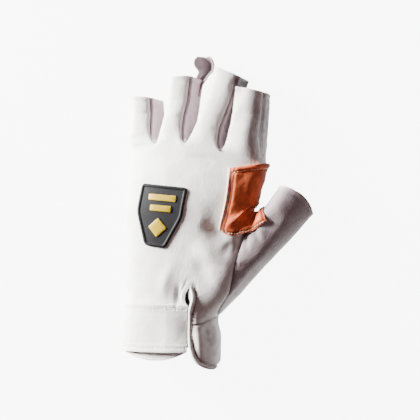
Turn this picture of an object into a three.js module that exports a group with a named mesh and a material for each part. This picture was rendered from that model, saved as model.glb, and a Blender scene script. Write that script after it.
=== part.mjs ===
// A left-hand half-finger climbing glove of pale goatskin, lying palm down.
// Millimetres: +X towards the thumb, +Y towards the fingertips, +Z out of the back of the hand.
// The leather's outer skin is one smooth form: a trunk from the wrist hem to the crotches between
// the fingers, four finger stalls that grow out of it, and a thumb stall set in a hole in its side.
// Each panel is cut from that form, so that neighbours meet edge to edge at a stitched seam.

import * as THREE from "three";
import { mergeVertices } from "three/addons/utils/BufferGeometryUtils.js";

// Sizes of the whole glove
const HAND_LENGTH = 129; // from the wrist's hem to the fingers, along the sides of the hand
const KNUCKLE_BREADTH = 102;
const WRIST_BREADTH = 73;
const HAND_HEIGHT = 36; // back of the hand above the surface that the glove lies on
const LEATHER = 1.4;
const THIN_LEATHER = 1.1; // of the thumb stall and of the strips between the fingers
const SEAM_GAP = 0.6;
const MITRE_LIMIT = 4; // of the drawing back at a panel's sharp corners

// Finger stalls
const FINGER_HEIGHT = 18;
const CROTCH_LENGTH = 17; // over which a stall grows from the hand's form to its own
const CROTCH_AHEAD = 2; // from the middle of a stall's base to its sides
const CROTCH_HEIGHT = 27; // back of the hand above the surface, between the fingers
const FINGER_LEAN = 3; // how far a stall's palm side stands towards the thumb
const WALL_SHARE = 0.78; // of a stall's half breadth, at which its walls towards its neighbours stand
const PALM_REACH = 5; // how far the palm's lines stand ahead of the back's

// Thumb stall
const THUMB_GAP = 0.9; // at the seam round its hole
const THUMB_BREADTH = 29;
const THUMB_HEIGHT = 22;
const THUMB_FALL = 0.5; // share of its height that the stall loses from the web to its outer side
const THUMB_REACH_X = 65; // middle of the thumb's open tip
const THUMB_REACH_Y = 100;
const THUMB_ANGLE = 48; // degrees from +X
const THUMB_SAG = 2; // bend of the stall towards the wrist
const THUMB_SWELL = 2; // bulge of its back
const THUMB_END_ROUND = 5; // how far the middle of its open tip stands past the corners
const THUMB_HOLE_START = 18; // the hole in the hand's side, from the wrist hem
const THUMB_HOLE_END = 81.5;

// Wrist opening
const SLIT_TOP = 43; // from the wrist hem
const SLIT_WIDTH = 3.4;
const SLIT_TAPER = 10; // over which it closes
const TONGUE_DROP = 16; // how far the tongue hangs past the wrist hem
const TONGUE_ROUND = 15; // height of its rounded end
const PIPING_RADIUS = 1.1;
const PIPING_TOP = 31; // from the wrist hem
const PIPING_FOOT = 8; // where it leaves the slit for the tongue's edge

// Pieces laid on the leather
const LAY_GAP = 0.5; // clearance between a laid piece and the faceted leather under it
const STRAP_THICKNESS = 1.5;
const STRAP_LENGTH = 33.5; // along the hand
const STRAP_START = -6; // from the wrist hem
const STRAP_MARGIN = 0.4;
const STRAP_END = THREE.MathUtils.degToRad(186); // where it meets the little finger's side
const PATCH_THICKNESS = 1.4;
const PATCH_GAP = 0.9;
const PATCH_LEVEL = 13; // height of the middle of the fans of rays that find the leather under it
const PATCH_BRIDGES = 2; // passes that let the patch bridge the sharp fold of the web
const WELT_RADIUS = 0.9;
const WELT_OFFSET = 1.8; // from the patch's edge
const WELT_ROWS = 7;
const BADGE_BREADTH = 34;
const BADGE_LENGTH = 43;
const BADGE_X = -23.6;
const BADGE_Y = 88.6;
const BADGE_TURN = -5; // degrees
const BADGE_THICKNESS = 2;
const BADGE_RIM = 2.2;
const BADGE_RIM_HEIGHT = 0.8;
const BADGE_CORNER = 3;
const BADGE_EDGE = 0.4; // of the rounding of its rim
const INLAY_THICKNESS = 0.8;
const INLAY_GAP = 0.3;
const INLAY_CORNER = 1;
const INLAY_EDGE = 0.2;
const TAB_THICKNESS = 1.2;
const TAB_LENGTH = 27;
const TAB_BREADTH = 14;
const TAB_ASIDE = 13.4; // of its middle, from the middle of the ring finger's open tip
const TAB_INSIDE = 12; // of its root, in the ring finger's stall
const TAB_LEVEL = 3.4; // height of its middle
const TAB_CURL = 5; // how far its sides stand up, at its full breadth

// How finely the pieces are divided
const FINGER_COLUMNS = 5;
const FINGER_ROWS = 7;
const HOLE_ROWS = 10;
const THUMB_ROWS = 8;
const WALL_COLUMNS = 4;
const TONGUE_ROWS = 6;
const TONGUE_COLUMNS = 10;
const STRAP_COLUMNS = 14;
const PATCH_COLUMNS = 14;
const TAB_COLUMNS = 6;
const CORNER_STEPS = 3;
const SIDE_STEP = 6;
const PALM_SHARE = 0.45; // height of the hand's widest line, as a share of its height

// Sections of the trunk. at is the share of the hand's length from the wrist hem. left and right
// are shares of the breadth there, which runs from the wrist's to the knuckles'. top is a share of
// the hand's height, and fall lowers it towards the thumb. bow and slant are shares of the hand's
// length that bend the section's line, and slit is where the line that carries the wrist slit and
// the third crotch crosses the section.
const TRUNK = [
  { at: 0.0, left: -0.829, right: 0.136, top: 0.92, fall: 0.0, bow: -0.09, slant: 0.034, slit: 0.548 },
  { at: 0.14, left: -0.768, right: 0.112, top: 0.92, fall: 0.03, bow: -0.06, slant: 0.0, slit: 0.588 },
  { at: 0.3, left: -0.704, right: 0.33, top: 0.96, fall: 0.12, bow: -0.02, slant: 0.0, slit: 0.25 },
  { at: 0.45, left: -0.662, right: 0.38, top: 1.0, fall: 0.2, bow: 0.0, slant: 0.0, slit: 0.24 },
  { at: 0.6, left: -0.636, right: 0.348, top: 1.0, fall: 0.26, bow: 0.015, slant: 0.0, slit: 0.33 },
  { at: 0.75, left: -0.609, right: 0.365, top: 0.97, fall: 0.24, bow: 0.035, slant: -0.015, slit: 0.4 },
  { at: 0.88, left: -0.58, right: 0.395, top: 0.89, fall: 0.17, bow: 0.06, slant: -0.035, slit: 0.43 },
  { at: 1.0, left: -0.559, right: 0.432, top: 0.75, fall: 0.1, bow: 0.085, slant: -0.052, slit: 0.431 },
];

// Finger stalls, from the little finger to the index. base and tip are breadths as shares of the
// knuckle breadth, length is a share of the hand's, and angle is in degrees from +Y towards +X.
// cut is the slope of the open end.
const FINGERS = [
  { name: "little", length: 0.259, base: 0.204, tip: 0.182, angle: -2, cut: -0.13 },
  { name: "ring", length: 0.353, base: 0.208, tip: 0.192, angle: 7.8, cut: 0.18 },
  { name: "middle", length: 0.411, base: 0.232, tip: 0.22, angle: 16.2, cut: -0.18 },
  { name: "index", length: 0.36, base: 0.25, tip: 0.225, angle: 4.8, cut: -0.1 },
];

// Rows of the web patch from the thumb back to the index. x is its edge on the back of the hand
// as a share of the knuckle breadth, and y as a share of the way from the thumb hole to the
// fingers. turn is the direction in degrees in which the row runs out to the side, and low is how
// far down it reaches.
const PATCH = [
  { x: 0.469, y: 0.09, turn: 117, low: -4 },
  { x: 0.412, y: 0.001, turn: 100, low: -7 },
  { x: 0.36, y: -0.07, turn: 82, low: -10 },
  { x: 0.294, y: -0.105, turn: 63, low: -14 },
  { x: 0.235, y: -0.127, turn: 59, low: -14 },
  { x: 0.169, y: -0.067, turn: 43, low: -18 },
  { x: 0.192, y: 0.158, turn: 27, low: -30 },
  { x: 0.214, y: 0.389, turn: 12, low: -38 },
  { x: 0.223, y: 0.565, turn: 8, low: -38 },
  { x: 0.229, y: 0.728, turn: 6, low: -38 },
  { x: 0.231, y: 0.796, turn: 7, low: -38 },
  { x: 0.232, y: 0.861, turn: 8, low: -38 },
];

// The pull tab from its root to its end. x is its middle and breadth its width, as shares of the
// tab's breadth, and at is a share of its length.
const TAB = [
  { at: 0, x: -0.7, breadth: 0.46 },
  { at: 0.3, x: -0.66, breadth: 0.46 },
  { at: 0.5, x: -0.4, breadth: 0.5 },
  { at: 0.64, x: 0, breadth: 0.7 },
  { at: 0.8, x: 0.12, breadth: 1 },
  { at: 0.92, x: 0.1, breadth: 0.84 },
  { at: 1, x: 0.06, breadth: 0.45 },
];

// Corners of the badge from its upper right, as shares of its breadth and length.
const SHIELD = [
  [0.482, 0.488],
  [-0.503, 0.488],
  [-0.559, 0.037],
  [-0.315, -0.495],
  [0.135, -0.516],
  [0.438, 0.002],
];

// Plain yellow shapes on the badge, each about its own middle
const bar = (breadth, height) => [
  [breadth / 2, height / 2],
  [-breadth / 2, height / 2],
  [-breadth / 2, -height / 2],
  [breadth / 2, -height / 2],
];
const lozenge = (breadth, height) => [
  [breadth / 2, 0],
  [0, height / 2],
  [-breadth / 2, 0],
  [0, -height / 2],
];
const INLAYS = [
  { name: "badge_bar_upper", x: -0.02, y: 0.29, corners: bar(0.6, 0.1) },
  { name: "badge_bar_lower", x: -0.03, y: 0.12, corners: bar(0.46, 0.1) },
  { name: "badge_lozenge", x: -0.06, y: -0.19, corners: lozenge(0.4, 0.32) },
];

const LAST_FINGER = FINGERS.length - 1;

// Where the first two crotches' lines stand across the hand at the wrist and at the knuckles,
// from -1 to 1.
const CROTCHES = [
  { wrist: -0.45, knuckle: -0.533 },
  { wrist: 0.08, knuckle: -0.08 },
];

const BACK_ROUNDNESS = 2.4; // exponent of the trunk's section above its widest line
const PALM_ROUNDNESS = 3.6; // and below it
const FINGER_ROUNDNESS = 2.5;
const FLAT = 1.04; // the undersides are pressed flat where the glove rests
const SIDE_SEAM = THREE.MathUtils.degToRad(-20); // below the widest line, where the panels meet
const CORNER = THREE.MathUtils.degToRad(46); // where a finger's back or palm meets its side wall
const HOLE_BACK = THREE.MathUtils.degToRad(55); // reach of the thumb hole round the section
const HOLE_PALM = THREE.MathUtils.degToRad(46);
const TURN = Math.PI / 2;

// Colours
const PALE_LEATHER = 0xecebe6;
const RUST_LEATHER = 0xb4471c;
const RAW_EDGE = 0xe9b9a6;
const BLACK_RUBBER = 0x3a3838;
const YELLOW_RUBBER = 0xf0c815;

const { lerp, clamp, degToRad } = THREE.MathUtils;
const evenly = (from, to, steps) => Array.from({ length: steps + 1 }, (_, i) => lerp(from, to, i / steps));

// The value of one column of a table at a place between its rows, on a smooth curve.
function between(table, column, at) {
  const last = table.length - 1;
  let i = 0;
  while (i < last - 1 && table[i + 1].at < at) i += 1;
  const [before, start, end, after] = [i - 1, i, i + 1, i + 2].map((n) => table[clamp(n, 0, last)]);
  const span = end.at - start.at;
  const slope = (a, b) => (b[column] - a[column]) / (b.at - a.at);
  const t = clamp((at - start.at) / span, 0, 1);
  const leave = slope(before, end) * span * t * (1 - t) ** 2;
  const arrive = slope(start, after) * span * t * t * (1 - t);
  return start[column] * (1 + 2 * t) * (1 - t) ** 2 + end[column] * t * t * (3 - 2 * t) + leave - arrive;
}

// A section's shape between an ellipse and a rectangle.
const rounded = (value, roundness) => Math.sign(value) * Math.abs(value) ** (2 / roundness);
const pressed = (value, roundness) => Math.max(-1, FLAT * rounded(value, roundness));
const angleAcross = (share, roundness) => Math.acos(Math.sign(share) * Math.abs(share) ** (roundness / 2));

// A point of the trunk's skin. at runs from the wrist hem (0) to the fingers (1), and angle from
// the thumb side (0) over the back (a right angle) to the little finger's side.
function trunk(at, angle) {
  const row = (column) => between(TRUNK, column, at);
  const up = Math.sin(angle) >= 0;
  const roundness = up ? BACK_ROUNDNESS : PALM_ROUNDNESS;
  const across = rounded(Math.cos(angle), roundness);
  const rise = up ? rounded(Math.sin(angle), roundness) : pressed(Math.sin(angle), roundness);
  const breadth = lerp(WRIST_BREADTH, KNUCKLE_BREADTH, clamp(at, 0, 1));
  const knuckles = clamp((at - 0.7) / 0.3, 0, 1) ** 2;
  const top = lerp(row("top") * HAND_HEIGHT, CROTCH_HEIGHT, knuckles);
  const side = PALM_SHARE * top;
  const fallen = 1 - row("fall") * (across + 0.35);
  const y = HAND_LENGTH * (at + row("bow") * (1 - across ** 2) + row("slant") * across);
  return new THREE.Vector3(
    breadth * lerp(row("left"), row("right"), (across + 1) / 2),
    up ? y : y + PALM_REACH * rise ** 2,
    up ? side + (top - side) * rise * fallen : side * (1 + rise),
  );
}

const HOLE_MIDDLE = (THUMB_HOLE_START + THUMB_HOLE_END) / 2 / HAND_LENGTH;
const HOLE_HALF = (THUMB_HOLE_END - THUMB_HOLE_START) / 2 / HAND_LENGTH;

// The angle of the thumb-side edge of the back or palm panel, round the thumb hole.
function sideAngle(at, palm) {
  const along = clamp((at - HOLE_MIDDLE) / HOLE_HALF, -1, 1);
  const reach = Math.sqrt(1 - along ** 2);
  return palm ? SIDE_SEAM - HOLE_PALM * reach : SIDE_SEAM + HOLE_BACK * reach;
}

// Angles on the trunk of the lines between the fingers: 0 is the little finger's outer seam, and
// 4 is the index's, which follows the thumb hole where there is one.
function lineAngle(line, at, palm) {
  if (line === 0) return palm ? SIDE_SEAM - 2 * (TURN + SIDE_SEAM) : Math.PI - SIDE_SEAM;
  if (line === FINGERS.length) return sideAngle(at, palm);
  const roundness = palm ? PALM_ROUNDNESS : BACK_ROUNDNESS;
  const crotch = CROTCHES[line - 1];
  const share = crotch ? lerp(crotch.wrist, crotch.knuckle, clamp(at, 0, 1)) : between(TRUNK, "slit", at);
  return (palm ? -1 : 1) * angleAcross(share, roundness);
}

// Right and left angles of a finger's back or palm. The outer sides of the little finger and of
// the index have no side wall: their back and palm meet at the side seam.
function fingerArc(finger, palm) {
  const outer = palm ? -Math.PI - SIDE_SEAM : Math.PI - SIDE_SEAM;
  const right = palm ? -CORNER : CORNER;
  const left = palm ? CORNER - Math.PI : Math.PI - CORNER;
  return [finger === LAST_FINGER ? SIDE_SEAM : right, finger === 0 ? outer : left];
}

// The ring of the trunk's last section that belongs to a finger, at the finger's own angle: the
// trunk's back and palm, and an upright line from the one to the other in each crotch.
function baseRing(finger, angle) {
  const [backRight, backLeft] = fingerArc(finger, false);
  const [palmRight, palmLeft] = fingerArc(finger, true);
  const onTrunk = (palm, share) =>
    trunk(1, lerp(lineAngle(finger + 1, 1, palm), lineAngle(finger, 1, palm), share));
  if (angle >= backRight && angle <= backLeft)
    return onTrunk(false, (angle - backRight) / (backLeft - backRight));
  const below = angle > backLeft ? angle - 2 * Math.PI : angle;
  if (below <= palmRight && below >= palmLeft)
    return onTrunk(true, (palmRight - below) / (palmRight - palmLeft));
  const right = below > palmRight;
  const down = right
    ? (backRight - below) / (backRight - palmRight)
    : (below + 2 * Math.PI - backLeft) / (palmLeft + 2 * Math.PI - backLeft);
  return onTrunk(false, right ? 0 : 1).lerp(onTrunk(true, right ? 0 : 1), down);
}

// A finger stall's own section at a share of its length, before it is joined to the trunk.
function stall(finger, t, angle) {
  const { length, base, tip, angle: turn, cut } = FINGERS[finger];
  const start = trunk(1, lineAngle(finger, 1, false));
  const end = trunk(1, lineAngle(finger + 1, 1, false));
  const sideways = new THREE.Vector3(Math.cos(degToRad(turn)), -Math.sin(degToRad(turn)), 0);
  const forward = new THREE.Vector3(-sideways.y, sideways.x, 0);
  const half = (KNUCKLE_BREADTH * lerp(base, tip, t)) / 2;
  const height = lerp(CROTCH_HEIGHT, FINGER_HEIGHT, Math.min(1, 1.6 * t)) / 2;
  const rise = pressed(Math.sin(angle), FINGER_ROUNDNESS);
  const wall = finger === (Math.cos(angle) > 0 ? LAST_FINGER : 0) ? 1 : WALL_SHARE;
  const across = half * clamp(rounded(Math.cos(angle), FINGER_ROUNDNESS), -wall, wall);
  const ahead = CROTCH_AHEAD + PALM_REACH * Math.max(0, -rise) ** 2;
  return start
    .add(end)
    .multiplyScalar(0.5)
    .setZ(height * (1 + rise))
    .addScaledVector(forward, lerp(ahead, HAND_LENGTH * length + cut * across, t))
    .addScaledVector(sideways, across - FINGER_LEAN * rise);
}

// A point of a finger stall's skin: t runs from the crotches (0) to the open tip (1).
function fingerSkin(finger, t, angle) {
  const along = (t * HAND_LENGTH * FINGERS[finger].length) / CROTCH_LENGTH;
  return baseRing(finger, angle).lerp(stall(finger, t, angle), Math.sin(TURN * Math.min(1, along)));
}

const thumbTurn = degToRad(THUMB_ANGLE);
const THUMB_FORWARD = new THREE.Vector3(Math.cos(thumbTurn), Math.sin(thumbTurn), 0);
const THUMB_SIDEWAYS = new THREE.Vector3(THUMB_FORWARD.y, -THUMB_FORWARD.x, 0);

// A point of the thumb stall's skin: t runs from the hole in the trunk's side (0) to the tip (1),
// and angle from the hole's wrist end over the back to the web.
function thumbSkin(t, angle) {
  const at = HOLE_MIDDLE - HOLE_HALF * Math.cos(angle);
  const reach = Math.sin(angle) >= 0 ? HOLE_BACK : HOLE_PALM;
  const hole = trunk(at, SIDE_SEAM + reach * Math.sin(angle));
  const across = rounded(Math.cos(angle), FINGER_ROUNDNESS);
  const rise = pressed(Math.sin(angle), FINGER_ROUNDNESS);
  const height = THUMB_HEIGHT * (1 - (THUMB_FALL * (across + 1)) / 2);
  const tip = new THREE.Vector3(THUMB_REACH_X, THUMB_REACH_Y, (height / 2) * (1 + rise))
    .addScaledVector(THUMB_SIDEWAYS, (THUMB_BREADTH / 2) * across)
    .addScaledVector(THUMB_FORWARD, THUMB_END_ROUND * (1 - across ** 2));
  const bend = 2 * t * (1 - t);
  const swell = new THREE.Vector3(0, -THUMB_SAG * bend, THUMB_SWELL * bend * Math.max(0, rise));
  return hole.lerp(tip, t).add(swell);
}

// Rows and columns of the leather's skin. The places on the trunk close up at the ends of the
// thumb hole, so that the thumb stall's columns meet them.
function skinPlaces(fineness) {
  const holeAngles = evenly(0, Math.PI, HOLE_ROWS * fineness);
  const hole = holeAngles.map((angle) => HOLE_MIDDLE - HOLE_HALF * Math.cos(angle));
  const wrist = evenly(0, hole[0], 2 * fineness);
  const knuckles = evenly(hole[hole.length - 1], 1, 5 * fineness);
  return {
    trunk: [...wrist, ...hole.slice(1), ...knuckles.slice(1)],
    finger: evenly(0, 1, FINGER_ROWS * fineness).map((t) => t ** 1.35),
    thumb: evenly(0, 1, THUMB_ROWS * fineness),
    columns: FINGER_COLUMNS * fineness,
  };
}
const COARSE = skinPlaces(1);
const FINE = skinPlaces(3);

// A grid of points, one row for each place and one point for each share of the way across.
function grid(rows, columns, place) {
  return rows.map((row) => evenly(0, 1, columns).map((share) => place(row, share)));
}

// How far an edge of the wrist slit stands from the slit's line: nothing at its top.
const slitShift = (at) => (SLIT_WIDTH / 2) * clamp((SLIT_TOP - at * HAND_LENGTH) / SLIT_TAPER, 0, 1);

// The trunk's skin in one finger's strip. The index's strip starts at the thumb hole on the back,
// because the tongue covers the wrist there.
function trunkStrip(finger, palm, places) {
  const overTongue = !palm && finger === LAST_FINGER;
  const first = overTongue ? THUMB_HOLE_START / HAND_LENGTH - 1e-6 : 0;
  const rows = places.trunk.filter((at) => at >= first);
  return grid(rows, places.columns, (at, share) => {
    const left = lineAngle(finger, at, palm);
    const right = lineAngle(finger + 1, at, palm);
    const point = trunk(at, palm ? lerp(right, left, share) : lerp(left, right, share));
    if (!palm && finger === 2) point.x -= slitShift(at) * share;
    if (overTongue) point.x += slitShift(at) * (1 - share);
    return point;
  });
}

function fingerStrip(finger, palm, places) {
  const [right, left] = fingerArc(finger, palm);
  const [first, last] = palm ? [right, left] : [left, right];
  const place = (t, share) => fingerSkin(finger, t, lerp(first, last, share));
  return grid(places.finger, places.columns, place);
}

function panelGrids(palm, places) {
  return FINGERS.flatMap((_, finger) => [trunkStrip(finger, palm, places), fingerStrip(finger, palm, places)]);
}

// The side walls of two neighbours are one piece, which turns round the crotch between them.
function fourchetteGrids(finger, places) {
  const sides = [
    { of: finger, first: CORNER, last: -CORNER },
    { of: finger + 1, first: Math.PI + CORNER, last: Math.PI - CORNER },
  ];
  return sides.map(({ of, first, last }) =>
    grid(places.finger, WALL_COLUMNS, (t, share) => fingerSkin(of, t, lerp(first, last, share))),
  );
}

function thumbGrids(places, holeRows) {
  const place = (t, share) => thumbSkin(t, lerp(Math.PI, -Math.PI, share));
  return [grid(places.thumb, 2 * holeRows, place)];
}

// The tongue reaches from the wrist slit to the side seam, and its lower end is rounded.
function tonguePoint(up, share) {
  const angle = lerp(lineAngle(3, 0, false), SIDE_SEAM, share);
  const hem = trunk(0, angle).y;
  const low = -TONGUE_DROP + TONGUE_ROUND * (1 - Math.sqrt(1 - (2 * share - 1) ** 2));
  const at = lerp((low - hem) / HAND_LENGTH, THUMB_HOLE_START / HAND_LENGTH, up);
  const point = trunk(at, lerp(lineAngle(3, at, false), SIDE_SEAM, share));
  point.x += slitShift(at) * (1 - share);
  return point;
}

// A sheet is the leather's outer skin as joined quads: points that coincide are one.
function sheetOf(grids) {
  const sheet = { points: [], keys: [], quads: [] };
  const known = new Map();
  const index = (point) => {
    const key = point.toArray().map((v) => Math.round(v * 1e3)).join();
    if (!known.has(key)) {
      known.set(key, sheet.points.length);
      sheet.points.push(point);
      sheet.keys.push(key);
    }
    return known.get(key);
  };
  for (const rows of grids)
    for (let i = 0; i + 1 < rows.length; i += 1)
      for (let j = 0; j + 1 < rows[i].length; j += 1)
        sheet.quads.push([rows[i][j], rows[i][j + 1], rows[i + 1][j + 1], rows[i + 1][j]].map(index));
  return sheet;
}

// Normals of joined sheets, so that two panels that meet at a seam have the same one there.
function skinNormals(sheets) {
  const sums = new Map();
  for (const { points, keys, quads } of sheets)
    for (const [a, b, c, d] of quads) {
      const face = points[c].clone().sub(points[a]).cross(points[d].clone().sub(points[b]));
      for (const corner of [a, b, c, d]) {
        if (!sums.has(keys[corner])) sums.set(keys[corner], new THREE.Vector3());
        sums.get(keys[corner]).add(face);
      }
    }
  for (const sum of sums.values()) sum.normalize();
  return sums;
}

function geometryOf(points, index) {
  return new THREE.BufferGeometry().setFromPoints(points).setIndex(index);
}

const trianglesOf = (quads) =>
  quads.flatMap(([a, b, c, d]) => [
    [a, b, c],
    [a, c, d],
  ]).filter(([a, b, c]) => a !== b && b !== c && c !== a);

// A wall of leather whose outer face is a sheet raised by `lift`. Its edges are drawn back, which
// leaves a gap at each seam, and nothing is let through the surface that the glove lies on.
function wall(sheet, normals, thickness, { lift = 0, gap = SEAM_GAP } = {}) {
  const normal = sheet.keys.map((key) => normals.get(key));
  const triangles = trianglesOf(sheet.quads);
  const edges = new Map();
  for (const triangle of triangles)
    triangle.forEach((a, n) => {
      const b = triangle[(n + 1) % 3];
      if (!edges.delete(`${b},${a}`)) edges.set(`${a},${b}`, [a, b]);
    });
  const inward = sheet.points.map(() => new THREE.Vector3());
  for (const [a, b] of edges.values()) {
    const run = sheet.points[b].clone().sub(sheet.points[a]);
    for (const end of [a, b]) inward[end].add(normal[end].clone().cross(run).normalize());
  }
  const outer = sheet.points.map((point, i) => {
    const mitre = Math.min(MITRE_LIMIT, 2 / Math.max(0.1, inward[i].length()));
    return point
      .clone()
      .addScaledVector(inward[i].normalize(), (mitre * gap) / 2)
      .addScaledVector(normal[i], lift);
  });
  for (const point of outer) point.z = Math.max(0, point.z);
  const inner = outer.map((point, i) => point.clone().addScaledVector(normal[i], -thickness));
  const count = outer.length;
  const index = triangles.flatMap(([a, b, c]) => [a, b, c, count + a, count + c, count + b]);
  for (const [a, b] of edges.values()) index.push(a, count + a, count + b, a, count + b, b);
  return geometryOf([...outer, ...inner], index);
}

// The point and the normal of the trunk's back at a place seen from above.
function backAt(x, y) {
  const point = (px, py) => {
    let at = py / HAND_LENGTH;
    let found;
    for (let step = 0; step < 12; step += 1) {
      const breadth = lerp(WRIST_BREADTH, KNUCKLE_BREADTH, clamp(at, 0, 1));
      const [left, right] = [between(TRUNK, "left", at), between(TRUNK, "right", at)];
      const across = clamp((2 * (px / breadth - left)) / (right - left) - 1, -1, 1);
      found = trunk(at, angleAcross(across, BACK_ROUNDNESS));
      at += (py - found.y) / HAND_LENGTH;
    }
    return found;
  };
  const alongX = point(x + 0.5, y).sub(point(x - 0.5, y));
  const alongY = point(x, y + 0.5).sub(point(x, y - 0.5));
  return { point: point(x, y), normal: alongX.cross(alongY).normalize() };
}

function onBack(x, y, height) {
  const { point, normal } = backAt(x, y);
  return point.addScaledVector(normal, height);
}

// A closed round cord along a line of points, with flat ends.
function cord(line, radius, sides = 8) {
  const curve = new THREE.CatmullRomCurve3(line);
  const open = new THREE.TubeGeometry(curve, 3 * line.length, radius, sides, false);
  const tube = mergeVertices(open.deleteAttribute("uv").deleteAttribute("normal"));
  const position = tube.getAttribute("position");
  const pointAt = (i) => new THREE.Vector3().fromBufferAttribute(position, i);
  const points = Array.from({ length: position.count }, (_, i) => pointAt(i));
  const index = [...tube.getIndex().array];
  const edges = new Map();
  for (let i = 0; i < index.length; i += 3)
    for (const [a, b] of [[0, 1], [1, 2], [2, 0]].map((pair) => pair.map((n) => index[i + n])))
      if (!edges.delete(`${b},${a}`)) edges.set(`${a},${b}`, [a, b]);
  for (const end of [curve.getPoint(0), curve.getPoint(1)]) {
    const middle = points.push(end) - 1;
    const near = (i) => points[i].distanceTo(end) < 2 * radius;
    for (const [a, b] of edges.values()) if (near(a) && near(b)) index.push(b, a, middle);
  }
  return geometryOf(points, index);
}

// An outline of a corner list, with each corner rounded off and each side in short steps.
function roundedOutline(corners, radius) {
  const near = (corner, other) =>
    corner.clone().lerp(other, Math.min(0.4, radius / corner.distanceTo(other)));
  return corners.flatMap((corner, i) => {
    const before = corners[(i + corners.length - 1) % corners.length];
    const after = corners[(i + 1) % corners.length];
    const from = near(corner, before);
    const to = near(corner, after);
    const end = near(after, corner);
    const steps = Math.ceil(to.distanceTo(end) / SIDE_STEP);
    const side = evenly(0, 1, steps).slice(1, -1).map((share) => to.clone().lerp(end, share));
    return [...new THREE.QuadraticBezierCurve(from, corner, to).getPoints(CORNER_STEPS), ...side];
  });
}

// A plate laid on the back of the hand, as rings about its middle. Each ring is a share of the
// way out to the outline and a height over the leather, from the middle of its top round its edge
// to the middle of its underside.
function plate(outline, rings) {
  const turn = degToRad(BADGE_TURN);
  const place = ({ x, y }, height) =>
    onBack(
      BADGE_X + x * Math.cos(turn) - y * Math.sin(turn),
      BADGE_Y + x * Math.sin(turn) + y * Math.cos(turn),
      height,
    );
  const count = outline.length;
  const middle = outline.reduce((sum, p) => sum.add(p), new THREE.Vector2()).divideScalar(count);
  const loops = rings.map(([share, height]) =>
    outline.map((p) => place(middle.clone().lerp(p, share), height)),
  );
  const top = place(middle, rings[0][1]);
  const bottom = place(middle, rings[rings.length - 1][1]);
  const index = [];
  for (let j = 0; j < count; j += 1) {
    const next = (j + 1) % count;
    index.push(loops.length * count, j, next);
    for (let i = 0; i + 1 < loops.length; i += 1) {
      const [a, b] = [i * count + j, i * count + next];
      const [c, d] = [b + count, a + count];
      index.push(a, d, c, a, c, b);
    }
    const rim = (loops.length - 1) * count;
    index.push(rim + j, loops.length * count + 1, rim + next);
  }
  return geometryOf([...loops.flat(), top, bottom], index);
}

const glove = new THREE.Group();
const leather = new THREE.MeshStandardMaterial({ color: PALE_LEATHER, roughness: 0.75 });
const rust = new THREE.MeshStandardMaterial({ color: RUST_LEATHER, roughness: 0.7 });
const rawEdge = new THREE.MeshStandardMaterial({ color: RAW_EDGE, roughness: 0.9 });
const rubber = new THREE.MeshStandardMaterial({ color: BLACK_RUBBER, roughness: 0.5 });
const inlay = new THREE.MeshStandardMaterial({ color: YELLOW_RUBBER, roughness: 0.5 });

function add(name, geometry, material) {
  const mesh = new THREE.Mesh(geometry, material);
  mesh.name = name;
  glove.add(mesh);
}

// The panels, which share their normals at the seams
const backSheet = sheetOf(panelGrids(false, COARSE));
const palmSheet = sheetOf(panelGrids(true, COARSE));
const thumbSheet = sheetOf(thumbGrids(COARSE, HOLE_ROWS));
const tongueSheet = sheetOf([grid(evenly(0, 1, TONGUE_ROWS), TONGUE_COLUMNS, tonguePoint)]);
const fourchetteSheets = FINGERS.slice(1).map((_, finger) => sheetOf(fourchetteGrids(finger, COARSE)));
const normals = skinNormals([backSheet, palmSheet, thumbSheet, tongueSheet, ...fourchetteSheets]);

add("back_panel", wall(backSheet, normals, LEATHER), leather);
add("palm_panel", wall(palmSheet, normals, LEATHER), leather);
add("thumb_stall", wall(thumbSheet, normals, THIN_LEATHER, { gap: THUMB_GAP }), leather);
add("wrist_tongue", wall(tongueSheet, normals, LEATHER), leather);
fourchetteSheets.forEach((sheet, finger) => {
  const name = `fourchette_${FINGERS[finger].name}_${FINGERS[finger + 1].name}`;
  add(name, wall(sheet, normals, THIN_LEATHER), leather);
});

// The strap across the wrist, from the little finger's side to the slit
const strapSheet = sheetOf([
  grid(evenly(STRAP_START, STRAP_START + STRAP_LENGTH, 4), STRAP_COLUMNS, (y, share) => {
    let at = y / HAND_LENGTH;
    const angle = () => lerp(STRAP_END, lineAngle(3, at, false), share);
    for (let step = 0; step < 6; step += 1) at += (y - trunk(at, angle()).y) / HAND_LENGTH;
    const point = trunk(at, angle());
    point.x -= (slitShift(at) + STRAP_MARGIN) * share;
    return point;
  }),
]);
const strapNormals = skinNormals([strapSheet]);
const strapLift = LAY_GAP + STRAP_THICKNESS;
add("wrist_strap", wall(strapSheet, strapNormals, STRAP_THICKNESS, { lift: strapLift }), leather);

// The rolled edge of the tongue, which stands in the slit and runs down round the tongue's end
const tongueMiddle = tonguePoint(0.35, 0.5);
const slitPoint = (at) => trunk(at, lineAngle(LAST_FINGER, at, false));
const pipingInSlit = evenly(PIPING_TOP, PIPING_FOOT, 5).map((y) => slitPoint(y / HAND_LENGTH));
const pipingRoundEnd = evenly(0.01, 0.6, 7).map((share) => {
  const edge = tonguePoint(0, share);
  const outward = edge.clone().sub(tongueMiddle).setZ(0).normalize();
  return edge.addScaledVector(outward, PIPING_RADIUS + SEAM_GAP);
});
const pipingLine = [...pipingInSlit, ...pipingRoundEnd];
for (const point of pipingLine) point.z -= LEATHER / 2;
add("slit_piping", cord(pipingLine, PIPING_RADIUS), leather);

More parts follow.
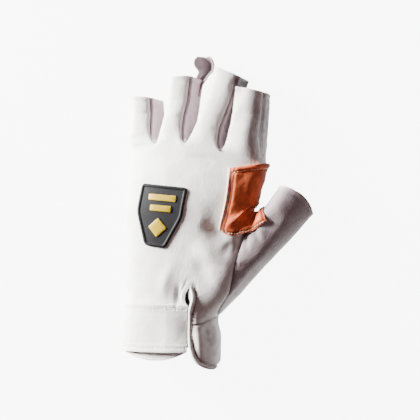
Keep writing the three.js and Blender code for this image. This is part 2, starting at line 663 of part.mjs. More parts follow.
// The patch round the web of the thumb: at each row, a fan of rays in an upright plane finds the
// leather. Where the web folds sharply, the patch bridges it.
const bothSides = new THREE.MeshBasicMaterial({ side: THREE.DoubleSide });
const bodyOf = ({ points, quads }) =>
  new THREE.Mesh(geometryOf(points, trianglesOf(quads).flat()), bothSides);
const coarseSkin = [backSheet, palmSheet, thumbSheet].map(bodyOf);
const fineGrids = [panelGrids(false, FINE), panelGrids(true, FINE), thumbGrids(FINE, 3 * HOLE_ROWS)];
const fineSkin = fineGrids.map((grids) => bodyOf(sheetOf(grids)));
const patchX = (x) => x * KNUCKLE_BREADTH;
const patchY = (y) => lerp(THUMB_HOLE_END, HAND_LENGTH, y);
const patchRays = PATCH.map(({ x, y, turn, low }) => {
  const origin = new THREE.Vector3(patchX(x), patchY(y), PATCH_LEVEL);
  const outward = new THREE.Vector3(Math.cos(degToRad(turn)), Math.sin(degToRad(turn)), 0);
  return evenly(TURN, degToRad(low), PATCH_COLUMNS).map(
    (angle) => new THREE.Ray(origin, outward.clone().multiplyScalar(Math.cos(angle)).setZ(Math.sin(angle))),
  );
});
const alongRay = (ray, distance) => ray.at(distance, new THREE.Vector3());
function skinFrom(ray) {
  const caster = new THREE.Raycaster(ray.origin, ray.direction);
  const distances = [coarseSkin, fineSkin].map((skin) => caster.intersectObjects(skin)[0].distance);
  return alongRay(ray, Math.max(...distances));
}
let patchRows = patchRays.map((rays) => rays.map(skinFrom));
for (let pass = 0; pass < PATCH_BRIDGES; pass += 1)
  patchRows = patchRows.map((row, i) =>
    row.map((point, j) => {
      if (i === 0 || i === patchRows.length - 1) return point;
      const ray = patchRays[i][j];
      const chord = patchRows[i - 1][j].clone().lerp(patchRows[i + 1][j], 0.5);
      const bridged = chord.sub(ray.origin).dot(ray.direction);
      return alongRay(ray, Math.max(bridged, point.distanceTo(ray.origin)));
    }),
  );
const patchSheet = sheetOf([patchRows]);
const patchLift = PATCH_GAP + PATCH_THICKNESS;
add("web_patch", wall(patchSheet, skinNormals([patchSheet]), PATCH_THICKNESS, { lift: patchLift }), rust);

// The raw edge beside the patch on the back of the hand
const weltLine = PATCH.slice(-WELT_ROWS).reverse().map(({ x, y }) =>
  onBack(patchX(x) - WELT_OFFSET, patchY(y), LAY_GAP + WELT_RADIUS),
);
add("web_patch_welt", cord(weltLine, WELT_RADIUS), rawEdge);

// The pull tab: a strip of leather from inside the ring finger's stall out past its tip
const ringTip = stall(1, 1, TURN);
const tabSheet = sheetOf([
  TAB.map(({ at, x, breadth }) =>
    evenly(-1, 1, TAB_COLUMNS).map(
      (side) =>
        new THREE.Vector3(
          ringTip.x + TAB_ASIDE + TAB_BREADTH * (x + (breadth * side) / 2),
          ringTip.y - TAB_INSIDE + TAB_LENGTH * at,
          TAB_LEVEL + TAB_CURL * breadth * side ** 2,
        ),
    ),
  ),
]);
add("pull_tab", wall(tabSheet, skinNormals([tabSheet]), TAB_THICKNESS), leather);

// The badge and the plain shapes that stand on it
const shield = roundedOutline(
  SHIELD.map(([x, y]) => new THREE.Vector2(x * BADGE_BREADTH, y * BADGE_LENGTH)),
  BADGE_CORNER,
);
const rimShare = 1 - BADGE_RIM / (BADGE_BREADTH / 2);
const rimTop = BADGE_THICKNESS + BADGE_RIM_HEIGHT;
add(
  "badge_shield",
  plate(shield, [
    [0.4, BADGE_THICKNESS],
    [rimShare - 0.03, BADGE_THICKNESS],
    [rimShare, rimTop],
    [0.98, rimTop],
    [1, rimTop - BADGE_EDGE],
    [1, LAY_GAP],
    [0.8, LAY_GAP],
    [0.6, LAY_GAP],
    [0.4, LAY_GAP],
  ]),
  rubber,
);
for (const { name, x, y, corners } of INLAYS) {
  const outline = corners.map(
    ([cx, cy]) => new THREE.Vector2((x + cx) * BADGE_BREADTH, (y + cy) * BADGE_LENGTH),
  );
  const low = BADGE_THICKNESS + INLAY_GAP;
  const high = low + INLAY_THICKNESS;
  const rings = [
    [0.5, high],
    [0.92, high],
    [1, high - INLAY_EDGE],
    [1, low],
    [0.5, low],
  ];
  add(name, plate(roundedOutline(outline, INLAY_CORNER), rings), inlay);
}

// The finished glove's frame has its origin at the middle of the underside
const box = new THREE.Box3().setFromObject(glove);
const centre = box.getCenter(new THREE.Vector3());
glove.position.set(-centre.x, -centre.y, -box.min.z);

export default glove;
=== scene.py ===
# A left-hand half-finger climbing glove of pale goatskin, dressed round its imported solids.
# Lengths are millimetres in the glove's own frame until a piece is finished: +X towards the thumb,
# +Y towards the fingertips, +Z out of the back of the hand, with y = 0 at the wrist hem.

import math
from bisect import bisect
from functools import lru_cache

import bmesh
import bpy
from mathutils import Matrix, Vector, noise
from mathutils.bvhtree import BVHTree
from mathutils.kdtree import KDTree


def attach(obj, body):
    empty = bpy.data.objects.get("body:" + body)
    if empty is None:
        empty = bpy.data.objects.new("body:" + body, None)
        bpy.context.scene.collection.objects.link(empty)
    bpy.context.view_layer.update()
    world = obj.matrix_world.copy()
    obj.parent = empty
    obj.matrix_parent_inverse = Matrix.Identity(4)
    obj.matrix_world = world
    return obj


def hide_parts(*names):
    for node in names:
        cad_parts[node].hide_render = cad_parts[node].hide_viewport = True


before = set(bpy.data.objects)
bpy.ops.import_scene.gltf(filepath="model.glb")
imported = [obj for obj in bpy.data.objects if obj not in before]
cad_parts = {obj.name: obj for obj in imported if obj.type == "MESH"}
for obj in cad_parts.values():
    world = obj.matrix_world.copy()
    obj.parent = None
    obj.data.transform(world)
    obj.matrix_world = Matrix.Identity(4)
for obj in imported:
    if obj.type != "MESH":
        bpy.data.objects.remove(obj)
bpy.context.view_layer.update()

# Leather shell
# The panels of a glove are cut from goatskin about 1.4 mm thick and sewn inside out, so they meet
# edge to edge at turned seams. Their outer skin is worked out here as one smooth form, then cut
# into the back, the palm, the thumb's sleeve, the wrist tongue and the walls between the fingers.

MM = 0.001
HEM_PLACE = Vector((-6.4275, -91.2769, 0))  # the glove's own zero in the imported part's frame
HAND_LENGTH = 129
KNUCKLE_BREADTH = 102
WRIST_BREADTH = 73
HAND_HEIGHT = 36
LEATHER = 1.3  # thickness of every panel
FINGER_HEIGHT = 18
CROTCH_LENGTH = 17  # over which a stall grows out of the hand
CROTCH_AHEAD = 2  # of a stall's own first section, from the hand's last
CROTCH_HEIGHT = 27
FINGER_LEAN = 3  # of a stall's back towards the little finger, and of its palm the other way
WALL_SHARE = 0.78  # a wall between fingers stands at this share of the stall's half breadth
STALL_ADVANCE = 0.4  # least way forward of the skin for each millimetre of a stall
TIP_SLANT = 1.2  # how far a stall's back stands ahead of its walls at the tip, and its palm behind
PALM_REACH = 5  # how far the palm's sections stand ahead of the back's
THUMB_BREADTH = 29
THUMB_HEIGHT = 22
THUMB_FALL = 0.5  # share of its height that the sleeve loses towards its outer side
THUMB_REACH = (65, 100)  # middle of the sleeve's open end
THUMB_ANGLE = math.radians(48)
THUMB_SAG = 2
THUMB_SWELL = 2
THUMB_END_ROUND = 5
THUMB_HOLE_START = 18
THUMB_HOLE_END = 81.5
SLIT_TOP = 43
SLIT_WIDTH = 3.4
SLIT_TAPER = 10  # over which the slit opens to its full width
TONGUE_DROP = 16  # past the hem
TONGUE_ROUND = 15  # how far its corners are drawn back
PALM_SHARE = 0.45  # height of a section's widest place, as a share of its top's
BACK_ROUNDNESS = 2.4
PALM_ROUNDNESS = 3.6
FINGER_ROUNDNESS = 2.5
FLAT = 1.04  # presses a section's underside flat on the table
SIDE_SEAM = math.radians(-20)
CORNER = math.radians(46)  # of a stall's section, where its back meets a wall
HOLE_BACK = math.radians(55)
HOLE_PALM = math.radians(46)
TURN = math.pi / 2  # a quarter turn


def table(columns, *rows):
    """A table's rows, with each value under its column's name."""
    return [dict(zip(columns.split(), row)) for row in rows]


# Sections of the hand, from the wrist hem (0) to the knuckles (1). left and right are its sides as
# shares of its breadth, and top its height as a share of HAND_HEIGHT. fall is how much the back
# slopes down towards the thumb. bow and slant say how far the section bends and turns out of a
# straight line across, as shares of the length. slit is where the wrist slit's line crosses it.
TRUNK = table(
    "at left right top fall bow slant slit",
    (0.0, -0.829, 0.136, 0.92, 0.0, -0.09, 0.034, 0.548),
    (0.14, -0.768, 0.112, 0.92, 0.03, -0.06, 0.0, 0.588),
    (0.3, -0.704, 0.33, 0.96, 0.12, -0.02, 0.0, 0.25),
    (0.45, -0.662, 0.38, 1.0, 0.2, 0.0, 0.0, 0.24),
    (0.6, -0.636, 0.348, 1.0, 0.26, 0.015, 0.0, 0.33),
    (0.75, -0.609, 0.365, 0.97, 0.24, 0.035, -0.015, 0.4),
    (0.88, -0.58, 0.395, 0.89, 0.17, 0.06, -0.035, 0.43),
    (1.0, -0.559, 0.432, 0.75, 0.1, 0.085, -0.052, 0.431),
)
# length is a stall's as a share of the hand's, base and tip its breadths as shares of the knuckles',
# angle its lean towards the thumb in degrees, and cut the slant of its open end.
FINGERS = table(
    "name length base tip angle cut",
    ("little", 0.259, 0.204, 0.182, -2, -0.13),
    ("ring", 0.353, 0.208, 0.192, 7.8, 0.18),
    ("middle", 0.411, 0.232, 0.24, 17.2, -0.1),
    ("index", 0.36, 0.25, 0.225, 4.8, -0.1),
)
# Where the two left lines between the fingers start and end, as shares across the hand
CROTCHES = table(
    "wrist knuckle",
    (-0.45, -0.533),
    (0.08, -0.08),
)

# Folds and dents of the back, seen from above. x and y are a fold's middle, turn the direction of
# its length in degrees from +X, length and width its half sizes, bend how far its middle bows
# across, and amount its height over the leather round it, negative for a valley.
FOLDS = table(
    "x y turn length width bend amount",
    (2, 127.8, -16, 13, 1.3, 1, -0.8),
    (19, 47, 68, 30, 10, 0, 2.6),
    (13, 78, -38, 14, 5, 0, -2.4),
    (12, 90, 78, 22, 7, 0, -0.9),
    (20, 71, 30, 8, 3, 0, 0.4),
    (8, 63, -40, 14, 5, 0, 1.5),
    (5, 50, -55, 14, 4.5, 0, -0.7),
    (-20, 42, 72, 18, 4, 3, 1),
    (-13.5, 34, 84, 12, 1.8, 0, -1.3),
    (21, 67, 66, 9, 2.2, 0, -0.5),
    (27, 69, 84, 8, 1.9, 0, -0.9),
    (33, 72, 104, 9, 2, 0, -0.7),
    (40, 77, 118, 10, 2.2, 0, -0.8),
    (50, 84, 60, 14, 5, 0, -0.9),
    (31, 104, 93, 24, 3, 0, -0.8),
    (0, 5, 97, 36, 4.5, 0, 3),
    (42, 150, 86, 32, 6, 0, -0.7),
    (26, 176, 70, 20, 4, 0, -1.0),
    (43, 60, 44, 26, 5, 0, 0.8),
)
# Mauve clouds in the pale skin, laid out like the folds: mostly painted shade where the skin turns away from
# the light, partly its own mottled tint. Here amount is the tint's strength.
SHADE_CLOUDS = table(
    "x y turn length width bend amount",
    (39.5, 150, 88, 36, 6, 0, 0.75),
    (46, 150, 87, 40, 3.2, 0, 0.7),
    (26.5, 183, 68, 18, 4, 0, 1.1),
    (22, 150, 72, 30, 2.5, 0, 0.4),
    (16, 50, 68, 38, 8, 0, 0.5),
    (10.5, 82, 60, 18, 7, 0, 0.12),
    (20, 70, -25, 12, 4, 0, 0.5),
    (-16.5, 38, 78, 16, 2.8, 2, 0.5),
    (4.6, 8, 97, 34, 3.3, 0, 0.6),
    (8.5, 4, 92, 34, 3, 0, 0.5),
)
SHADE_CLOUD_GRAIN = 3.5  # size of the mottling in a cloud
SHADE_CLOUD_MOTTLE = 0.6

# Soft unevenness of the leather, from broad to fine
SOFTNESS = [{"size": 34, "height": 0.7}, {"size": 11, "height": 0.25}, {"size": 3.5, "height": 0.06}]
SEAM_DIP = 0.8
SEAM_WIDTH = 1.0
SEAM_PUCKER = 0.22
PUCKER_PITCH = 4.5
PUCKER_AT = 3  # from the seam
PUCKER_WIDTH = 2.5
SEAM_TINT = 1.1  # reach of the dark line along a seam, partly its own and partly painted shade in its groove
RIM_TINT = 2.2  # and of the tint along an open end
HEM_DEPTH = 3.4  # of the turned hems at the open ends
HEM_DENT = 0.3
HEM_DENT_WIDTH = 0.7
WALL_BEAD = 0.8  # ridge beside a finger's seam, where the wall between the fingers is folded
WALL_BEAD_AT = 2.1
KNUCKLE_REACH = 8  # over which the back is eased into the fingers
KNUCKLE_PASSES = 30  # of smoothing
EYE_Y = 35.5  # the slit stands open here, as a small eye
EYE_HALF = 8
EYE_BREADTH = 2.6  # how far its left edge is drawn aside
EYE_LAP = 1.8  # how far the slit's right edge reaches across under the eye
BINDING_TOP = 42.5
BINDING_FOOT = 8  # from here it goes over to the tongue's rounded end
BINDING_BOW = 3  # how far the binding swings round the eye
BINDING_ROUND = 0.66  # how far the binding follows the tongue's end
BINDING_RADIUS = 1.3
BINDING_SEAM = 2.3  # from the middle of the roll to its stitches
INDEX_SIDE = math.radians(16)  # where a strip is set into the index's side
FLOOR_GAP = 0.05


def clamp(value, low, high):
    return min(max(value, low), high)


def lerp(start, end, share):
    return start + (end - start) * share


def evenly(start, end, steps):
    return [lerp(start, end, i / steps) for i in range(steps + 1)]


def between(table, column, at):
    """The value of one column of a table at a place between its rows, on a smooth curve."""
    last = len(table) - 1
    i = 0
    while i < last - 1 and table[i + 1]["at"] < at:
        i += 1
    before, start, end, after = [table[clamp(n, 0, last)] for n in (i - 1, i, i + 1, i + 2)]
    span = end["at"] - start["at"]
    t = clamp((at - start["at"]) / span, 0, 1)
    leave_slope = (end[column] - before[column]) / (end["at"] - before["at"])
    arrive_slope = (after[column] - start[column]) / (after["at"] - start["at"])
    ends = start[column] * (1 + 2 * t) * (1 - t) ** 2 + end[column] * t * t * (3 - 2 * t)
    return ends + leave_slope * span * t * (1 - t) ** 2 - arrive_slope * span * t * t * (1 - t)


@lru_cache(maxsize=None)
def section(at):
    return {column: between(TRUNK, column, at) for column in TRUNK[0] if column != "at"}


def rounded(value, roundness):
    """A section's shape between an ellipse and a rectangle."""
    return math.copysign(abs(value) ** (2 / roundness), value)


def pressed(value, roundness):
    return max(-1, FLAT * rounded(value, roundness))


def angle_across(share, roundness):
    return math.acos(clamp(math.copysign(abs(share) ** (roundness / 2), share), -1, 1))


def trunk(at, angle):
    """A point of the hand's skin, at a share of its length and an angle from the thumb's side upwards."""
    row = section(at)
    up = math.sin(angle) >= 0
    roundness = BACK_ROUNDNESS if up else PALM_ROUNDNESS
    across = rounded(math.cos(angle), roundness)
    rise = rounded(math.sin(angle), roundness) if up else pressed(math.sin(angle), roundness)
    breadth = lerp(WRIST_BREADTH, KNUCKLE_BREADTH, clamp(at, 0, 1))
    top = lerp(row["top"] * HAND_HEIGHT, CROTCH_HEIGHT, clamp((at - 0.7) / 0.3, 0, 1) ** 2)
    side = PALM_SHARE * top
    y = HAND_LENGTH * (at + row["bow"] * (1 - across**2) + row["slant"] * across)
    x = breadth * lerp(row["left"], row["right"], (across + 1) / 2)
    if up:
        return Vector((x, y, side + (top - side) * rise * (1 - row["fall"] * (across + 0.35))))
    return Vector((x, y + PALM_REACH * rise**2, side * (1 + rise)))


HOLE_MIDDLE = (THUMB_HOLE_START + THUMB_HOLE_END) / 2 / HAND_LENGTH
HOLE_HALF = (THUMB_HOLE_END - THUMB_HOLE_START) / 2 / HAND_LENGTH
INDEX = len(FINGERS) - 1


def line_angle(line, at, palm):
    """Where the lines between the fingers cross a section: 0 is the little finger's outer seam."""
    if line == 0:
        return SIDE_SEAM - 2 * (TURN + SIDE_SEAM) if palm else math.pi - SIDE_SEAM
    if line == len(FINGERS):
        reach = math.sqrt(1 - clamp((at - HOLE_MIDDLE) / HOLE_HALF, -1, 1) ** 2)
        return SIDE_SEAM - HOLE_PALM * reach if palm else SIDE_SEAM + HOLE_BACK * reach
    if line <= len(CROTCHES):
        crotch = CROTCHES[line - 1]
        share = lerp(crotch["wrist"], crotch["knuckle"], clamp(at, 0, 1))
    else:
        share = section(at)["slit"]
    return (-1 if palm else 1) * angle_across(share, PALM_ROUNDNESS if palm else BACK_ROUNDNESS)


def finger_arc(finger, palm):
    """Right and left angles of a finger's back or palm. The hand's two outer sides have no wall."""
    outer = (-math.pi if palm else math.pi) - SIDE_SEAM
    right = -CORNER if palm else CORNER
    left = CORNER - math.pi if palm else math.pi - CORNER
    return (SIDE_SEAM if finger == INDEX else right, outer if finger == 0 else left)


def base_ring(finger, angle):
    """The ring of the hand's last section that a finger's stall grows from."""
    back_right, back_left = finger_arc(finger, False)
    palm_right, palm_left = finger_arc(finger, True)

    def on_trunk(palm, share):
        return trunk(1, lerp(line_angle(finger + 1, 1, palm), line_angle(finger, 1, palm), share))

    if back_right <= angle <= back_left:
        return on_trunk(False, (angle - back_right) / (back_left - back_right))
    below = angle - 2 * math.pi if angle > back_left else angle
    if palm_left <= below <= palm_right:
        return on_trunk(True, (palm_right - below) / (palm_right - palm_left))
    if below > palm_right:
        down = (back_right - below) / (back_right - palm_right)
        return on_trunk(False, 0).lerp(on_trunk(True, 0), down)
    down = (below + 2 * math.pi - back_left) / (palm_left + 2 * math.pi - back_left)
    return on_trunk(False, 1).lerp(on_trunk(True, 1), down)


def stall(finger, t, angle):
    """A finger stall's own section at a share of its length, before it is joined to the hand."""
    row = FINGERS[finger]
    turn = math.radians(row["angle"])
    sides = [trunk(1, line_angle(line, 1, False)) for line in (finger, finger + 1)]
    middle = sides[0].lerp(sides[1], 0.5)
    sideways = Vector((math.cos(turn), -math.sin(turn), 0))
    forward = Vector((math.sin(turn), math.cos(turn), 0))
    half = KNUCKLE_BREADTH * lerp(row["base"], row["tip"], t) / 2
    height = lerp(CROTCH_HEIGHT, FINGER_HEIGHT, min(1, 1.6 * t)) / 2
    rise = pressed(math.sin(angle), FINGER_ROUNDNESS)
    outer_side = INDEX if math.cos(angle) > 0 else 0
    wall = 1 if finger == outer_side else WALL_SHARE
    across = half * clamp(rounded(math.cos(angle), FINGER_ROUNDNESS), -wall, wall)
    ahead = CROTCH_AHEAD + PALM_REACH * max(0, -rise) ** 2
    middle.z = height * (1 + rise)
    reach = HAND_LENGTH * row["length"] + row["cut"] * across + TIP_SLANT * rise
    middle += forward * lerp(ahead, reach, t)
    return middle + sideways * (across - FINGER_LEAN * rise)


def finger_skin(finger, t, angle):
    """A point of a finger's stall, from its base (0) to its open tip (1). It never turns back."""
    run = t * HAND_LENGTH * FINGERS[finger]["length"]
    base = base_ring(finger, angle)
    point = base.lerp(stall(finger, t, angle), math.sin(TURN * min(1, run / CROTCH_LENGTH)))
    point.y = max(point.y, base.y + STALL_ADVANCE * run)
    return point


THUMB_FORWARD = Vector((math.cos(THUMB_ANGLE), math.sin(THUMB_ANGLE), 0))
THUMB_SIDEWAYS = Vector((math.sin(THUMB_ANGLE), -math.cos(THUMB_ANGLE), 0))


def thumb_skin(t, angle):
    """A point of the thumb's sleeve, from the hole in the hand's side (0) to its open tip (1)."""
    reach = HOLE_BACK if math.sin(angle) >= 0 else HOLE_PALM
    hole = trunk(HOLE_MIDDLE - HOLE_HALF * math.cos(angle), SIDE_SEAM + reach * math.sin(angle))
    across = rounded(math.cos(angle), FINGER_ROUNDNESS)
    rise = pressed(math.sin(angle), FINGER_ROUNDNESS)
    height = THUMB_HEIGHT * (1 - THUMB_FALL * (across + 1) / 2)
    tip = Vector((*THUMB_REACH, height / 2 * (1 + rise)))
    ahead = THUMB_END_ROUND * (1 - across**2) + TIP_SLANT * rise
    tip += THUMB_SIDEWAYS * (THUMB_BREADTH / 2 * across) + THUMB_FORWARD * ahead
    bend = 2 * t * (1 - t)
    return hole.lerp(tip, t) + Vector((0, -THUMB_SAG * bend, THUMB_SWELL * bend * max(0, rise)))


WRIST_ROWS, HOLE_ROWS, KNUCKLE_ROWS = 14, 64, 38
STRIP_COLUMNS = 22  # of each strip between two lines, and of the tongue, so that their edges join
STALL_ROWS = 46
STALL_CROWDING = 1.35  # draws a stall's rows towards its base
WALL_COLUMNS = 12
THUMB_ROWS = 72
TONGUE_ROWS = 34


def trunk_rows(first=0.0):
    """Places along the hand, which close up at the ends of the thumb hole."""
    hole = [HOLE_MIDDLE - HOLE_HALF * math.cos(angle) for angle in evenly(0, math.pi, HOLE_ROWS)]
    rows = evenly(0, hole[0], WRIST_ROWS) + hole[1:] + evenly(hole[-1], 1, KNUCKLE_ROWS)[1:]
    return [at for at in rows if at >= first]


def slit_shift(at):
    """How far an edge of the wrist slit stands from the slit's line: nothing at its top."""
    return SLIT_WIDTH / 2 * clamp((SLIT_TOP - at * HAND_LENGTH) / SLIT_TAPER, 0, 1)


def eye(at):
    """How open the small eye in the slit is: 1 at its middle, 0 past its ends."""
    return math.cos(TURN * clamp((at * HAND_LENGTH - EYE_Y) / EYE_HALF, -1, 1)) ** 2


def tongue_point(up, share):
    """The tongue reaches from the wrist slit to the side seam, and its lower end is rounded."""
    hem = trunk(0, lerp(line_angle(INDEX, 0, False), SIDE_SEAM, share)).y
    low = -TONGUE_DROP + TONGUE_ROUND * (1 - math.sqrt(max(0, 1 - (2 * share - 1) ** 2)))
    at = lerp((low - hem) / HAND_LENGTH, THUMB_HOLE_START / HAND_LENGTH, up)
    point = trunk(at, lerp(line_angle(INDEX, at, False), SIDE_SEAM, share))
    point.x += slit_shift(at) * (1 - share)
    return point


skin = bmesh.new()
piece_of = skin.faces.layers.int.new("piece")
PIECES = ["back_panel", "palm_panel", "thumb_stall", "wrist_tongue"]
FIRST_WALL = len(PIECES)
PIECES += [f"fourchette_{a['name']}_{b['name']}" for a, b in zip(FINGERS, FINGERS[1:])]


def net(mesh, rows, columns, place):
    """Adds a net of quads. place gives a corner from its row and its share of the way across."""
    made = bmesh.ops.create_grid(mesh, x_segments=columns, y_segments=len(rows) - 1, size=1)["verts"]
    corners = {}
    for vert in made:
        row = round((vert.co.y + 1) / 2 * (len(rows) - 1))
        corners[vert] = (rows[row], (vert.co.x + 1) / 2)
        vert.co = place(*corners[vert])
    return corners


def leaf(piece, rows, columns, place):
    made = net(skin, rows, columns, place)
    for face in {face for vert in made for face in vert.link_faces}:
        face[piece_of] = PIECES.index(piece)


def trunk_strip(finger, palm):
    def place(at, share):
        left = line_angle(finger, at, palm)
        right = line_angle(finger + 1, at, palm)
        point = trunk(at, lerp(right, left, share) if palm else lerp(left, right, share))
        if not palm and finger == INDEX - 1:
            point.x -= (slit_shift(at) + EYE_BREADTH * eye(at)) * share
        if not palm and finger == INDEX:
            point.x += (slit_shift(at) - EYE_LAP * eye(at)) * (1 - share)
        return point

    under_tongue = not palm and finger == INDEX
    return trunk_rows(THUMB_HOLE_START / HAND_LENGTH - 1e-6 if under_tongue else 0), place


def stall_leaf(piece, finger, columns, first, last):
    """Adds the part of a finger's stall that lies between two angles round it."""
    rows = [t**STALL_CROWDING for t in evenly(0, 1, STALL_ROWS)]
    leaf(piece, rows, columns, lambda t, share: finger_skin(finger, t, lerp(first, last, share)))


for palm, piece in ((False, "back_panel"), (True, "palm_panel")):
    for finger in range(len(FINGERS)):
        rows, place = trunk_strip(finger, palm)
        leaf(piece, rows, STRIP_COLUMNS, place)
        right, left = finger_arc(finger, palm)
        first, last = (right, left) if palm else (left, right)
        stall_leaf(piece, finger, STRIP_COLUMNS, first, last)
for finger in range(INDEX):
    piece = PIECES[FIRST_WALL + finger]
    stall_leaf(piece, finger, WALL_COLUMNS, CORNER, -CORNER)
    stall_leaf(piece, finger + 1, WALL_COLUMNS, math.pi + CORNER, math.pi - CORNER)
leaf(
    "thumb_stall",
    evenly(0, 1, THUMB_ROWS),
    2 * HOLE_ROWS,
    lambda t, share: thumb_skin(t, lerp(math.pi, -math.pi, share)),
)
leaf("wrist_tongue", evenly(0, 1, TONGUE_ROWS), STRIP_COLUMNS, tongue_point)
bmesh.ops.remove_doubles(skin, verts=skin.verts, dist=0.02)
bmesh.ops.dissolve_degenerate(skin, edges=skin.edges, dist=0.005)
skin.normal_update()

# A vertex on a seam belongs to two panels. A rim is an open end or the edge of the wrist slit.
# The tongue's rows differ from the palm's, so the two lie edge to edge there without being joined,
# and their edges count as rims.
seam_near = skin.verts.layers.float.new("seam")
rim_near = skin.verts.layers.float.new("rim")
shade_cloud_at = skin.verts.layers.float.new("shade_cloud")
seam_verts, rim_verts = [], []
for vert in skin.verts:
    if len({face[piece_of] for face in vert.link_faces}) > 1:
        seam_verts.append(vert)
    elif vert.is_boundary:
        rim_verts.append(vert)


def tree_of(points):
    tree = KDTree(len(points))
    for i, point in enumerate(points):
        tree.insert(point, i)
    tree.balance()
    return tree


def binding_point(run):
    """The middle of the tongue's bound edge: down the slit (0 to 1), then round its end (to 2)."""
    if run <= 1:
        at = lerp(BINDING_TOP, BINDING_FOOT, run) / HAND_LENGTH
        return trunk(at, line_angle(INDEX, at, False)) + Vector((BINDING_BOW * eye(at), 0, 0))
    edge = tongue_point(0, lerp(0.01, BINDING_ROUND, run - 1))
    outward = edge - tongue_point(0.35, 0.5)
    outward.z = 0
    return edge + outward.normalized() * BINDING_RADIUS * (1 - (run - 1) ** 2)


def smoothed(line, passes):
    """The line with each point drawn half way to the middle of its neighbours, some times over."""
    for _ in range(passes):
        eased = [a.lerp(c, 0.5).lerp(b, 0.5) for a, b, c in zip(line, line[1:], line[2:])]
        line = [line[0], *eased, line[-1]]
    return line


binding_line = smoothed([binding_point(run) for run in evenly(0, 2, 160)], 60)
binding_seam = []
for before, point, after in zip(binding_line, binding_line[1:], binding_line[2:]):
    ahead = (after - before).normalized()
    binding_seam.append(point + Vector((-ahead.y, ahead.x, 0)) * BINDING_SEAM)
index_side = [finger_skin(INDEX, t, INDEX_SIDE) for t in evenly(0.12, 1, 90)]

seam_tree = tree_of([vert.co for vert in seam_verts] + binding_seam + index_side)
rim_tree = tree_of([vert.co for vert in rim_verts])
knuckle_tree = tree_of([trunk(1, angle) for angle in evenly(SIDE_SEAM, math.pi - SIDE_SEAM, 200)])
knuckles = []
for vert in skin.verts:
    on_back = all(face[piece_of] == PIECES.index("back_panel") for face in vert.link_faces)
    if on_back and not vert.is_boundary and knuckle_tree.find(vert.co)[2] < KNUCKLE_REACH:
        knuckles.append(vert)
for _ in range(KNUCKLE_PASSES):
    bmesh.ops.smooth_vert(
        skin, verts=knuckles, factor=0.5, use_axis_x=True, use_axis_y=True, use_axis_z=True
    )
skin.normal_update()


def amount_at(row, x, y):
    """What a fold or a cloud comes to at a place: all of its amount in its middle, none past its ends."""
    turn = math.radians(row["turn"])
    dx, dy = x - row["x"], y - row["y"]
    along = (dx * math.cos(turn) + dy * math.sin(turn)) / row["length"]
    if abs(along) >= 1:
        return 0
    across = dy * math.cos(turn) - dx * math.sin(turn) - row["bend"] * (1 - along**2)
    return row["amount"] * math.cos(TURN * along) ** 2 * math.exp(-((across / row["width"]) ** 2))


def relief(point, normal):
    """How far the leather's skin stands over its smooth form."""
    height = sum(row["height"] * noise.noise(point / row["size"]) for row in SOFTNESS)
    facing = clamp(2 * normal.z, 0, 1)
    if facing > 0:
        height += facing * sum(amount_at(fold, point.x, point.y) for fold in FOLDS)
    return height


moves = []
for vert in skin.verts:
    seam_place, _, seam_distance = seam_tree.find(vert.co)
    rim_distance = rim_tree.find(vert.co)[2]
    # A seam's dark line is partly its own and partly painted shade in its groove; a rim takes a tint of its
    # own.
    vert[seam_near] = math.exp(-((seam_distance / SEAM_TINT) ** 2))
    vert[rim_near] = math.exp(-((rim_distance / RIM_TINT) ** 2))
    facing_down = vert.normal.z <= -0.5
    # Painted shade: skin that doesn't face down takes the mauve of the clouds over it, with a mottle
    shade_cloud = 0 if facing_down else sum(amount_at(row, vert.co.x, vert.co.y) for row in SHADE_CLOUDS)
    vert[shade_cloud_at] = clamp(shade_cloud * (1 + SHADE_CLOUD_MOTTLE * noise.noise(vert.co / SHADE_CLOUD_GRAIN)), 0, 1)
    dip = SEAM_DIP * math.exp(-((seam_distance / SEAM_WIDTH) ** 2))
    if vert.normal.x > 0.2 and all(face[piece_of] >= FIRST_WALL for face in vert.link_faces):
        dip -= WALL_BEAD * math.exp(-((seam_distance - WALL_BEAD_AT) ** 2))
    run = (seam_place.x + seam_place.y + seam_place.z) / PUCKER_PITCH
    beside = math.exp(-(((seam_distance - PUCKER_AT) / PUCKER_WIDTH) ** 2))
    pucker = SEAM_PUCKER * beside * noise.noise(Vector((run, 0, 0))) * 2
    dip += HEM_DENT * math.exp(-(((rim_distance - HEM_DEPTH) / HEM_DENT_WIDTH) ** 2))
    lift = relief(vert.co, vert.normal) + pucker - dip
    moves.append((vert, vert.normal * lift))
# Skin that faces up has its wall under it, so it stays a wall's thickness off the floor.
for vert, move in moves:
    facing_up = max(face.normal.z for face in vert.link_faces) > 0.05
    vert.co += move
    vert.co.z = max(LEATHER + FLOOR_GAP if facing_up else FLOOR_GAP, vert.co.z)
skin.normal_update()
skin_tree = BVHTree.FromBMesh(skin)


def linear(code):
    """An sRGB hex colour as linear red, green, blue and alpha."""
    parts = [int(code[i : i + 2], 16) / 255 for i in (0, 2, 4)]
    return (*[c / 12.92 if c <= 0.04045 else ((c + 0.055) / 1.055) ** 2.4 for c in parts], 1)


def add_node(tree, kind, inputs=None, **settings):
    """Adds a node with its settings. An input is a value, or another node's socket to link."""
    made = tree.nodes.new(kind)
    for name, value in settings.items():
        setattr(made, name, value)
    for name, value in (inputs or {}).items():
        socket = made.inputs[name]
        if isinstance(value, bpy.types.NodeSocket):
            tree.links.new(value, socket)
        else:
            socket.default_value = value
    return made


